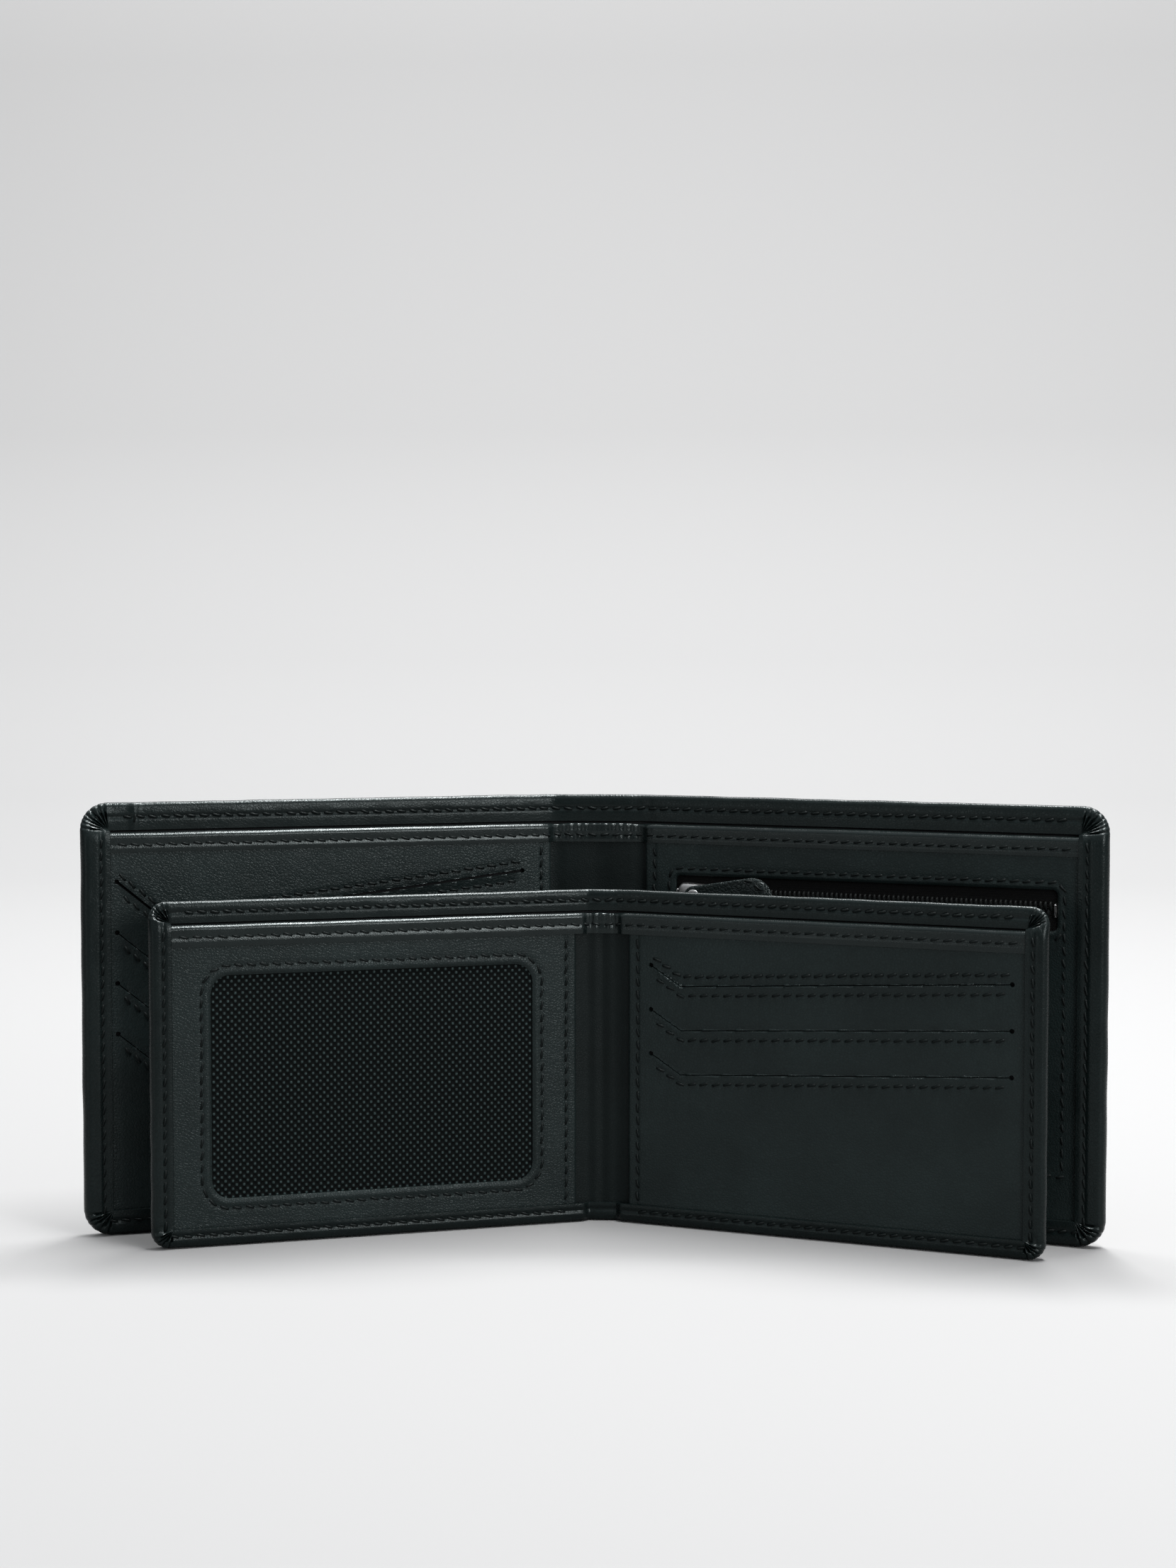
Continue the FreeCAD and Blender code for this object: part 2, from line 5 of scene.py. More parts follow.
import bmesh
import bpy
import numpy as np
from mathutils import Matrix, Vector


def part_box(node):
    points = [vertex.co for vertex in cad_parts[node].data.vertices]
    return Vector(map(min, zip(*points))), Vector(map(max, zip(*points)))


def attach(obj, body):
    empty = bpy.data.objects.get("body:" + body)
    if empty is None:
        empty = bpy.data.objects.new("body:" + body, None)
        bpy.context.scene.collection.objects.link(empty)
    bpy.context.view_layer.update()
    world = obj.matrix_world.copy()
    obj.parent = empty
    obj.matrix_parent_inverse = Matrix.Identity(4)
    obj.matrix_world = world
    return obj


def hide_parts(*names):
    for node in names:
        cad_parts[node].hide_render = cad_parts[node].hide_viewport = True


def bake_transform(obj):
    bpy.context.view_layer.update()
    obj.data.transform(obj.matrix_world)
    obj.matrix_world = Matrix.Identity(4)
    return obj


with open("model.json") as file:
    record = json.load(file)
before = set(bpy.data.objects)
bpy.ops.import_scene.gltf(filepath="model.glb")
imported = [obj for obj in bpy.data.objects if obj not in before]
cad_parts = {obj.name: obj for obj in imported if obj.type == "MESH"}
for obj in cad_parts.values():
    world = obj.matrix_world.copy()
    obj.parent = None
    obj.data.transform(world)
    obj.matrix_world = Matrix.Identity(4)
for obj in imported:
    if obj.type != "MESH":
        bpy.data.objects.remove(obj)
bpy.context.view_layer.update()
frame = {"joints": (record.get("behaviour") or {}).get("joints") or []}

# Leaf coordinates are in millimetres: across runs outward from the hinge axis (negative on the spine),
# depth runs from the wallet's back surface to its front, up is +Z.  place() turns them into the row frame.
MM = 0.001
REST_FOLD = math.radians(20.5)
LINING = 0.2
DIVIDER = 0.2
BIND_FRONT = 0.5
INNER_EDGE = 1.4
SEAM_INNER = 2.5
SEAM_TOP = 2.9
STITCH_PITCH = 3.0
STITCH_LONG = 2.3
STITCH_ROUND = 0.28
HEM_THICK = 1.15

JOINTS = {joint["name"]: joint for joint in frame["joints"]}


def wallet(name, tag, **sizes):
    """The sizes of one of the two wallets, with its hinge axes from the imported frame."""
    left, right = (JOINTS[f"{name}_{which}_fold"]["pos_m"] for which in ("left", "right"))
    made = SimpleNamespace(name=name, tag=tag, axis_y=right[1] / MM, **sizes)
    made.middle = (left[0] + right[0]) / 2 / MM
    made.axis_half = (right[0] - left[0]) / 2 / MM
    made.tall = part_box(f"{tag}cover_left")[1].z / MM
    made.divider_back = made.cover + LINING + made.gap
    made.face_back = made.divider_back + DIVIDER + made.room
    made.face_front = made.face_back + made.face
    made.stack = made.face_front + made.turn
    made.strip_front = made.divider_back + made.strip
    made.front_top = made.tall - made.drop
    made.spine_body = f"{name}_spine"
    return made


OUTER = wallet("outer", "", axis_depth=2.2, leaf=117.6, drop=7.1, setback=1.15, border=6.8, foot=6.1,
               round=6.6, cover=1.1, gap=0.5, room=0.8, face=0.9, turn=0.9, strip=0.7, bind_tall=4.7,
               seam_side=4.7, seam_foot=3.7, hem_seam=3.4, hem=6.6, edge=2.0, bend=3.6)
INSERT = wallet("insert", "insert_", axis_depth=0.9, leaf=107.4, drop=5.5, setback=3.4, border=5.1, foot=4.6,
                round=4.4, cover=0.9, gap=0.4, room=0.7, face=0.8, turn=0.7, strip=0.8, bind_tall=5.2,
                seam_side=3.3, seam_foot=3.0, hem_seam=2.6, hem=5.1, edge=1.7, bend=2.4)

OUTER_SLOTS = SimpleNamespace(near=8.6, knee=97.0, far=109.2, top=85.2, pitch=12.2, dip=10.2,
                              count=4, deep=44)
INSERT_SLOTS = SimpleNamespace(near=9.4, knee=17.2, far=99.2, top=63.8, pitch=10.8, dip=4.8,
                               count=3, deep=37)
SLOT_WIDE = 0.24
SLOT_HOLE = 0.6
SLOT_SEAM = 2.3
POCKET_STEP = 0.19
POCKET_CLOTH = 0.12
POCKET_MARGIN = 2.5

WINDOW = SimpleNamespace(near=14.4, far=93.0, low=11.2, high=64.2, round=4.4, seam=2.3)
MESH_MARGIN = 3.5
MESH_PITCH = 0.88
MESH_ROWS = 0.95
ZIP = SimpleNamespace(near=9.3, far=105.7, low=74.5, high=84.3, round=1.2, seam=1.7)
ZIP_MID = (ZIP.low + ZIP.high) / 2
COIN_LOW = 16.4


def smooth(values):
    clipped = np.clip(values, 0, 1)
    return clipped * clipped * (3 - 2 * clipped)


def bell(distance, width):
    return np.exp(-(distance / width) ** 2)


def ripple(across, up, length, seed):
    """Smooth, repeatable unevenness about zero, with waves of roughly the given length."""
    random = np.random.default_rng(seed)
    total = np.zeros(np.broadcast(across, up).shape)
    for _ in range(7):
        heading, phase = random.uniform(0, 2 * math.pi, 2)
        wave = 2 * math.pi / (length * random.uniform(0.6, 1.6))
        total = total + np.sin(wave * (across * math.cos(heading) + up * math.sin(heading)) + phase)
    return total / 7


def place(part, side, across, depth, up, rigid=False):
    """Row-frame points, in metres, for leaf coordinates; a piece that isn't rigid bends over its hinge."""
    across, depth, up = np.broadcast_arrays(across, depth, up)
    share = np.ones(across.shape) if rigid else smooth((across + part.bend) / (2 * part.bend))
    turn = share * REST_FOLD
    ahead = depth - part.axis_depth
    out = across * np.cos(turn) - ahead * np.sin(turn)
    back = -(across * np.sin(turn) + ahead * np.cos(turn))
    return np.stack([part.middle + side * (part.axis_half + out), part.axis_y + back, up], -1) * MM


def linked(name, data):
    """An object in the scene for a mesh, light or camera."""
    made = bpy.data.objects.new(name, data)
    bpy.context.scene.collection.objects.link(made)
    return made


def object_from(name, points, faces, flat=None, sharp=40):
    """A mesh object with outward normals, smooth shading and a flat map in millimetres."""
    mesh = bpy.data.meshes.new(name)
    mesh.from_pydata(np.asarray(points).reshape(-1, 3).tolist(), [], faces)
    if flat is not None:
        layer = mesh.uv_layers.new(name="flat")
        corners = np.empty(len(mesh.loops), int)
        mesh.loops.foreach_get("vertex_index", corners)
        layer.data.foreach_set("uv", np.asarray(flat, float).reshape(-1, 2)[corners].ravel())
    shape = bmesh.new()
    shape.from_mesh(mesh)
    bmesh.ops.remove_doubles(shape, verts=shape.verts, dist=1e-7)
    bmesh.ops.holes_fill(shape, edges=shape.edges, sides=0)
    bmesh.ops.recalc_face_normals(shape, faces=shape.faces)
    shape.to_mesh(mesh)
    shape.free()
    mesh.shade_smooth()
    mesh.set_sharp_from_angle(angle=math.radians(sharp))
    return linked(name, mesh)


def grid(across, up):
    return np.meshgrid(across, up, indexing="ij")


def quads(rows, columns, start=0):
    """Faces of a grid whose points are numbered row by row."""
    first = start + (np.arange(rows - 1)[:, None] * columns + np.arange(columns - 1)[None, :]).ravel()
    return np.stack([first, first + 1, first + columns + 1, first + columns], -1).tolist()


def tube(rings, around, closed=False):
    """Faces round a tube whose points are numbered ring by ring; closed joins its last ring to its first."""
    first = np.arange(rings if closed else rings - 1)[:, None] * around
    following = (first + around) % (rings * around)
    step = np.arange(around)[None]
    after = (step + 1) % around
    corners = [first + step, first + after, following + after, following + step]
    return np.stack(corners, -1).reshape(-1, 4)


def rounded_grid(part, wide, high, inset):
    """Moves a grid's outer corners onto arcs that are set in from the leaf's rounded outline."""
    radius = part.round - inset
    centre_across = part.leaf - part.round
    wide, high = wide.copy(), high.copy()
    for centre_up, way in ((part.round, -1), (part.tall - part.round, 1)):
        out = (wide - centre_across) / radius
        along = way * (high - centre_up) / radius
        inside = (out > 0) & (along > 0)
        scale = np.where(inside, np.maximum(out, along) / np.maximum(np.hypot(out, along), 1e-9), 1)
        wide = np.where(inside, centre_across + out * scale * radius, wide)
        high = np.where(inside, centre_up + way * along * scale * radius, high)
    return wide, high


def slab(name, part, side, across, up, front, back, rigid=True):
    """A closed sheet between two depths given over a grid, its corners inside the leaf's rounded edge."""
    wide, high = rounded_grid(part, *grid(across, up), INNER_EDGE)
    rows, columns = wide.shape
    front = np.broadcast_to(front, wide.shape)
    back = np.broadcast_to(back, wide.shape)
    faces_at = [place(part, side, wide, depth, high, rigid).reshape(-1, 3) for depth in (front, back)]
    points = np.concatenate(faces_at)
    flat = np.tile(np.stack([wide, high], -1).reshape(-1, 2), (2, 1))
    count = rows * columns
    faces = quads(rows, columns) + quads(rows, columns, count)
    index = np.arange(count).reshape(rows, columns)
    rim = np.concatenate([index[:-1, 0], index[-1, :-1], index[:0:-1, -1], index[0, :0:-1]])
    following = np.roll(rim, -1)
    faces += np.stack([rim, following, following + count, rim + count], -1).tolist()
    return object_from(name, points, faces, flat)


def loft(name, rings, flat=None, sharp=40):
    """A closed tube through rings of points, with its two ends filled."""
    rings = np.asarray(rings)
    return object_from(name, rings.reshape(-1, 3), tube(*rings.shape[:2]).tolist(), flat, sharp)


def spaced(*stops):
    """Grid lines through stops given as place, spacing, place, spacing, place and so on."""
    lines = [stops[0]]
    for spacing, end in zip(stops[1::2], stops[2::2]):
        steps = max(1, round((end - lines[-1]) / spacing))
        lines += list(np.linspace(lines[-1], end, steps + 1)[1:])
    return np.array(lines)


def bends(piece, part, side):
    """Bakes the piece's placement into its mesh; the bend's two ends beside the hinge are worked out but not
    used.
    """
    start, end = (place(part, side, step, part.axis_depth, 0.0) for step in (-part.bend, part.bend))
    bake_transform(piece)


def leaf_body(part, side):
    return f"{part.name}_{hand(side)}"


def hand(side):
    return "left" if side < 0 else "right"


# ---------------------------------------------------------------- materials


class Shader:
    """Short calls for building a node tree."""

    def __init__(self, name):
        self.material = bpy.data.materials.new(name)
        self.material.use_nodes = True
        self.tree = self.material.node_tree
        self.inputs = next(n for n in self.tree.nodes if n.type == "BSDF_PRINCIPLED").inputs
        self.coordinates = self.tree.nodes.new("ShaderNodeTexCoord")
        self.flat = self.tree.nodes.new("ShaderNodeUVMap")
        self.flat.uv_map = "flat"

    def link(self, source, target):
        self.tree.links.new(source, target)

    def add(self, kind, settings=None, **inputs):
        node = self.tree.nodes.new(kind)
        for name, value in (settings or {}).items():
            setattr(node, name, value)
        for name, value in inputs.items():
            socket = node.inputs[int(name[1:])] if name[1:].isdigit() else node.inputs[name.replace("_", " ")]
            if isinstance(value, bpy.types.NodeSocket):
                self.link(value, socket)
            else:
                socket.default_value = value
        return node

    def noise(self, scale, detail=3.0, roughness=0.55):
        return self.add("ShaderNodeTexNoise", Vector=self.coordinates.outputs["Object"], Scale=scale,
                        Detail=detail, Roughness=roughness).outputs["Fac"]

    def math(self, operation, first, second=0.0):
        return self.add("ShaderNodeMath", {"operation": operation}, _0=first, _1=second).outputs[0]

    def span(self, value, low, high, new_low, new_high):
        node = self.add("ShaderNodeMapRange", Value=value)
        for name, number in zip(("From Min", "From Max", "To Min", "To Max"), (low, high, new_low, new_high)):
            node.inputs[name].default_value = number
        return node.outputs["Result"]

    def mix(self, share, first, second):
        node = self.add("ShaderNodeMix", {"data_type": "RGBA"})
        for socket, value in ((node.inputs[0], share), (node.inputs[6], first), (node.inputs[7], second)):
            if isinstance(value, bpy.types.NodeSocket):
                self.link(value, socket)
            else:
                socket.default_value = value
        return node.outputs[2]

    def bump(self, height, strength, distance, under=None):
        node = self.add("ShaderNodeBump", Height=height, Strength=strength, Distance=distance)
        if under is not None:
            self.link(under, node.inputs["Normal"])
        return node.outputs["Normal"]

    def finish(self, colour, rough, normal, shine=None, tinted=False):
        """Links the surface's main inputs, sets its sheen and gives the material."""
        for name, socket in (("Base Color", colour), ("Roughness", rough), ("Normal", normal)):
            self.link(socket, self.inputs[name])
        if shine is not None:
            self.inputs["Specular IOR Level"].default_value = shine
        if tinted:
            self.inputs["Specular Tint"].default_value = SHINE_TINT
        return self.material


SHINE_TINT = (0.90, 1.0, 1.0, 1.0)


def grey(level, tint=(0.66, 1.05, 1.05)):
    return (level * tint[0], level * tint[1], level * tint[2], 1.0)


def leather(name, level, gloss, shine, grain=0.75, depth=0.35):
    """Black pebbled leather: cell grain with painted shade in its creases, pores, cloudy colour and a sheen
    that varies.
    """
    shader = Shader(name)
    where = shader.coordinates.outputs["Object"]
    bent = shader.add("ShaderNodeTexNoise", Vector=where, Scale=420.0, Detail=2.0).outputs["Color"]
    warped = shader.add("ShaderNodeMixRGB", {"blend_type": "LINEAR_LIGHT"}, Fac=0.00045, Color1=where,
                        Color2=bent)
    cells = shader.add("ShaderNodeTexVoronoi", {"feature": "DISTANCE_TO_EDGE"}, Vector=warped.outputs[0],
                       Scale=1000.0 / grain)
    pebbles = shader.span(cells.outputs["Distance"], 0.0, 0.22, 0.0, 1.0)
    fine = shader.noise(5200.0, 2.0)
    cloud = shader.noise(38.0, 4.0, 0.6)
    patch = shader.noise(240.0, 3.0)
    shade = shader.mix(shader.span(cloud, 0.3, 0.7, 0.0, 1.0), grey(level * 0.72), grey(level * 1.3))
    # Painted shade: the creases between the grain's pebbles are painted darker.
    crease_shaded = shader.mix(shader.span(pebbles, 0.0, 0.6, 0.45, 0.0), shade, grey(level * 0.3))
    rough = shader.math("ADD", shader.span(patch, 0.3, 0.7, gloss - 0.05, gloss + 0.07),
                        shader.span(pebbles, 0.0, 1.0, 0.09, 0.0))
    coarse = shader.bump(patch, 0.22, 0.00035)
    pebble_bump = shader.bump(pebbles, depth, 0.00009, coarse)
    return shader.finish(crease_shaded, rough, shader.bump(fine, 0.18, 0.00003, pebble_bump), shine, tinted=True)


def weave(name, level, pitch, strength, twill=0.0):
    """Woven cloth: two crossed sets of threads on the piece's flat map, twilled where asked."""
    shader = Shader(name)
    parts = shader.add("ShaderNodeSeparateXYZ", Vector=shader.flat.outputs["UV"])
    turn = 2 * math.pi / pitch
    across = shader.math("MULTIPLY", parts.outputs["X"], turn)
    up = shader.math("MULTIPLY", parts.outputs["Y"], turn)
    slanted = shader.math("ADD", across, shader.math("MULTIPLY", up, twill))
    warp = shader.math("SINE", slanted)
    weft = shader.math("SINE", up)
    height = shader.math("MULTIPLY", warp, weft) if not twill else shader.math("ADD", warp, weft)
    fuzz = shader.noise(3000.0, 2.0)
    # Painted light and shade: the thread crests are painted lighter and the hollows between threads darker;
    # the fuzz adds random tone.
    lit = shader.span(height, -1.0, 1.0, 0.0, 1.0)
    shade = shader.mix(shader.math("MULTIPLY", lit, shader.span(fuzz, 0.3, 0.7, 0.6, 1.0)),
                       grey(level * 0.45, (0.95, 1.0, 1.1)), grey(level * 1.4, (0.95, 1.0, 1.1)))
    rough = shader.span(fuzz, 0.3, 0.7, 0.72, 0.9)
    cloth = shader.bump(height, strength, pitch * MM * 0.16)
    return shader.finish(shade, rough, shader.bump(fuzz, 0.3, 0.00004, cloth), 0.12)


def netting(name, level):
    """Basket-woven mesh: crests painted light and glossy, ground painted near-black as shade, both in step
    with the piece's own relief.
    """
    shader = Shader(name)
    parts = shader.add("ShaderNodeSeparateXYZ", Vector=shader.flat.outputs["UV"])
    across = shader.math("COSINE", shader.math("MULTIPLY", parts.outputs["X"], math.pi / MESH_PITCH))
    up = shader.math("COSINE", shader.math("MULTIPLY", parts.outputs["Y"], math.pi / MESH_ROWS))
    crest = shader.span(shader.math("MULTIPLY", across, up), 0.25, 0.9, 0.0, 1.0)
    fuzz = shader.noise(2600.0, 2.0)
    # Painted light and shade: the crests are painted bright and the ground between the strands near-black.
    lit = shader.math("MULTIPLY", crest, shader.span(fuzz, 0.25, 0.75, 0.45, 1.2))
    colour = shader.mix(lit, grey(level * 0.02), grey(level))
    rough = shader.span(crest, 0.0, 1.0, 0.85, 0.30)
    return shader.finish(colour, rough, shader.bump(fuzz, 0.4, 0.00006), 0.09, tinted=True)


def yarn(name, level):
    """Twisted thread: fine slanted ridges and a dull sheen."""
    shader = Shader(name)
    twist = shader.noise(2600.0, 2.0)
    colour = shader.mix(twist, grey(level * 0.5), grey(level * 1.6))
    rough = shader.span(twist, 0.3, 0.7, 0.42, 0.62)
    return shader.finish(colour, rough, shader.bump(twist, 0.5, 0.00006), 0.10, tinted=True)


def metal(name, level):
    """Dark brushed nickel with small scuffs."""
    shader = Shader(name)
    where = shader.add("ShaderNodeMapping", Vector=shader.coordinates.outputs["Object"])
    where.inputs["Scale"].default_value = (400.0, 400.0, 6000.0)
    brushed = shader.add("ShaderNodeTexNoise", Vector=where.outputs[0], Scale=1.0, Detail=3.0).outputs["Fac"]
    scuff = shader.noise(900.0, 4.0)
    colour = shader.mix(brushed, grey(level * 0.75, (1, 1, 1)), grey(level * 1.2, (1, 1, 1)))
    rough = shader.span(scuff, 0.35, 0.7, 0.25, 0.45)
    shader.inputs["Metallic"].default_value = 1.0
    return shader.finish(colour, rough, shader.bump(brushed, 0.12, 0.00003))


def nylon(name, level):
    """Moulded nylon filament with faint draw lines."""
    shader = Shader(name)
    lines = shader.noise(4000.0, 2.0)
    colour = shader.mix(lines, grey(level * 0.8), grey(level * 1.3))
    rough = shader.span(lines, 0.3, 0.7, 0.45, 0.6)
    return shader.finish(colour, rough, shader.bump(lines, 0.2, 0.00003), 0.10)


MATERIALS = {
    "cover_leather": leather("cover_leather", 0.0056, 0.23, 0.13, grain=0.80, depth=0.20),
    # The panel leather's colour is set lighter than the other leathers, partly as painted sheen.
    "panel_leather": leather("panel_leather", 0.0088, 0.32, 0.15, grain=0.70, depth=0.40),
    # The strip leather's colour is set darker than the other leathers, partly as painted shade in the
    # recessed spine.
    "strip_leather": leather("strip_leather", 0.0040, 0.45, 0.10, grain=0.55, depth=0.30),
    "binding_leather": leather("binding_leather", 0.0055, 0.19, 0.22, grain=0.60, depth=0.12),
    "puller_leather": leather("puller_leather", 0.0060, 0.30, 0.25, grain=0.90, depth=0.90),
    "lining_cloth": weave("lining_cloth", 0.010, 0.45, 0.5, twill=1.0),
    "pocket_cloth": weave("pocket_cloth", 0.009, 0.40, 0.5),
    "window_mesh": netting("window_mesh", 0.034),
    # The zip tape's colour is set near-black, partly as painted shade in the zip opening.
    "zip_tape": weave("zip_tape", 0.0015, 0.60, 0.9, twill=2.0),
    "thread": yarn("thread", 0.0022),
    # The zip coil's colour is set near-black, partly as painted shade in the zip opening.
    "zip_coil": nylon("zip_coil", 0.0016),
    "zip_metal": metal("zip_metal", 0.30),
}


def dress(piece, slot_name, *nodes, body=None):
    """Material, slot, the CAD nodes that the piece stands for, and the body of a piece that doesn't bend."""
    piece.data.materials.clear()
    piece.data.materials.append(MATERIALS[slot_name])
    if nodes:
        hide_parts(*nodes)
    if body:
        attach(piece, body)


def cloth(piece, across, up, rests_on):
    """Takes a sewn-in sheet of cloth, cut to the width and height of its grid, and does nothing with it; its
    grid and what it rests on are not used.
    """


def sewn_cloth(name, slot_name, part, side, across, up, front, back, node, rests_on):
    """A sheet of cloth inside one leaf."""
    sheet = slab(name, part, side, across, up, front, back)
    dress(sheet, slot_name, node, body=leaf_body(part, side))
    cloth(sheet, across, up, rests_on)


# ---------------------------------------------------------------- stitching


def walk(route, pitch, inset=0.0):
    """Places and headings of evenly pitched stitches along a route of points."""
    route = np.asarray(route, float)
    steps = np.diff(route, axis=0)
    lengths = np.hypot(steps[:, 0], steps[:, 1])
    reach = np.concatenate([[0], np.cumsum(lengths)])
    count = max(1, int((reach[-1] - 2 * inset) / pitch))
    at = inset + (np.arange(count) + 0.5) * (reach[-1] - 2 * inset) / count
    which = np.clip(np.searchsorted(reach, at) - 1, 0, len(steps) - 1)
    share = ((at - reach[which]) / lengths[which])[:, None]
    return route[which] + steps[which] * share, np.arctan2(steps[which, 1], steps[which, 0])


def stitches(name, part, side, runs, rigid=True, seed=1):
    """Separate stitches along runs of (route, depth): short bowed lengths of thread, slightly slanted."""
    random = np.random.default_rng(seed)
    along = np.array([-0.5, -0.42, -0.2, 0.0, 0.2, 0.42, 0.5])
    plump = np.array([0.75, 1.3, 1.05, 1.0, 1.05, 1.3, 0.75])
    bow = np.array([-0.22, -0.12, 0.10, 0.19, 0.10, -0.12, -0.22])
    around = np.linspace(0, 2 * math.pi, 7)[:-1]
    middles, headings, depths = [], [], []
    for route, depth in runs:
        spots, turns = walk(route, STITCH_PITCH)
        middles.append(spots)
        headings.append(turns)
        depths.append(np.full(len(spots), depth) if np.isscalar(depth) else depth(spots[:, 0], spots[:, 1]))
    middles = np.concatenate(middles)
    depths = np.concatenate(depths)
    count = len(middles)
    slant = np.concatenate(headings) + math.radians(13) + random.normal(0, math.radians(3), count)
    reach = STITCH_LONG * random.normal(1, 0.04, count)
    shift = random.normal(0, 0.05, (count, 2))
    forward = along[None, :, None] * reach[:, None, None]
    sideways = (STITCH_ROUND * plump[:, None] * np.cos(around)[None, :])[None]
    rise = (STITCH_ROUND * 0.85 * plump[:, None] * np.sin(around)[None, :] + bow[:, None])[None]
    cosine = np.cos(slant)[:, None, None]
    sine = np.sin(slant)[:, None, None]
    across = middles[:, 0, None, None] + shift[:, 0, None, None] + forward * cosine - sideways * sine
    up = middles[:, 1, None, None] + shift[:, 1, None, None] + forward * sine + sideways * cosine
    depth = depths[:, None, None] + rise + 0 * across
    points = place(part, side, across, depth, up, rigid)
    rings, sides = len(along), len(around)
    starts = (np.arange(count) * rings * sides)[:, None, None]
    faces = (tube(rings, sides)[None] + starts).reshape(-1, 4).tolist()
    caps = np.array([range(sides), range((rings - 1) * sides, rings * sides)])
    faces += (caps[None] + starts).reshape(-1, sides).tolist()
    flat = np.stack([across, up], -1)
    return object_from(name, points, faces, flat, sharp=60)


# ---------------------------------------------------------------- leather covers


def cover_lines(part):
    """Grid lines across and up: fine at the fold and in the corners, coarser between."""
    radius = part.round - part.edge
    far = part.leaf - part.edge
    low, high = part.edge, part.tall - part.edge
    across = spaced(-part.axis_half, 1.0, -part.bend, 0.5, part.bend, 1.6, far - 16, 0.6, far - radius,
                    0.22, far)
    up = spaced(low, 0.22, low + radius, 1.5, high - radius, 0.22, high)
    return across, up


def rim_thickness(part, side, across, up):
    """The rim's thickness: the full stack at the leaf's side and foot, less on the spine and the top."""
    spine_thick = part.strip_front + BIND_FRONT
    hem_thick = part.cover + HEM_THICK
    thick = spine_thick + (part.stack - spine_thick) * smooth((across + 0.8) / 2.4)
    top = smooth((up - (part.front_top - 0.8)) / (part.drop * 0.75))
    thick = thick + (hem_thick - thick) * top
    if part is OUTER and side < 0:
        thick = thick + 0.45 * bell(across - (part.leaf - 13.0), 0.75) * top
    return thick


def pleats(part, across, up, seed):
    """Folds that fan out round the leaf's outer corners, as a depth from -1 to 1 and where they are."""
    total = np.zeros(across.shape)
    for centre_up, way, folds in ((part.foot, -1, 9.0), (part.tall - part.hem, 1, 13.0)):
        out = across - (part.leaf - part.border)
        along = way * (up - centre_up)
        angle = np.arctan2(along, np.maximum(out, 1e-6))
        inside = smooth((out + 0.3) / 1.2) * smooth((along + 0.3) / 1.2)
        wobble = 0.10 * np.sin(3 * angle + seed) + 0.05 * np.sin(7 * angle + 2 * seed)
        fold = np.abs(np.sin(folds * (angle + wobble))) ** 0.7
        reach = np.clip(np.hypot(out, along) / part.round, 0, 1)
        total += inside * (fold - 0.72) * smooth(reach * 1.9) * (1 - 0.55 * reach ** 2)
    return total


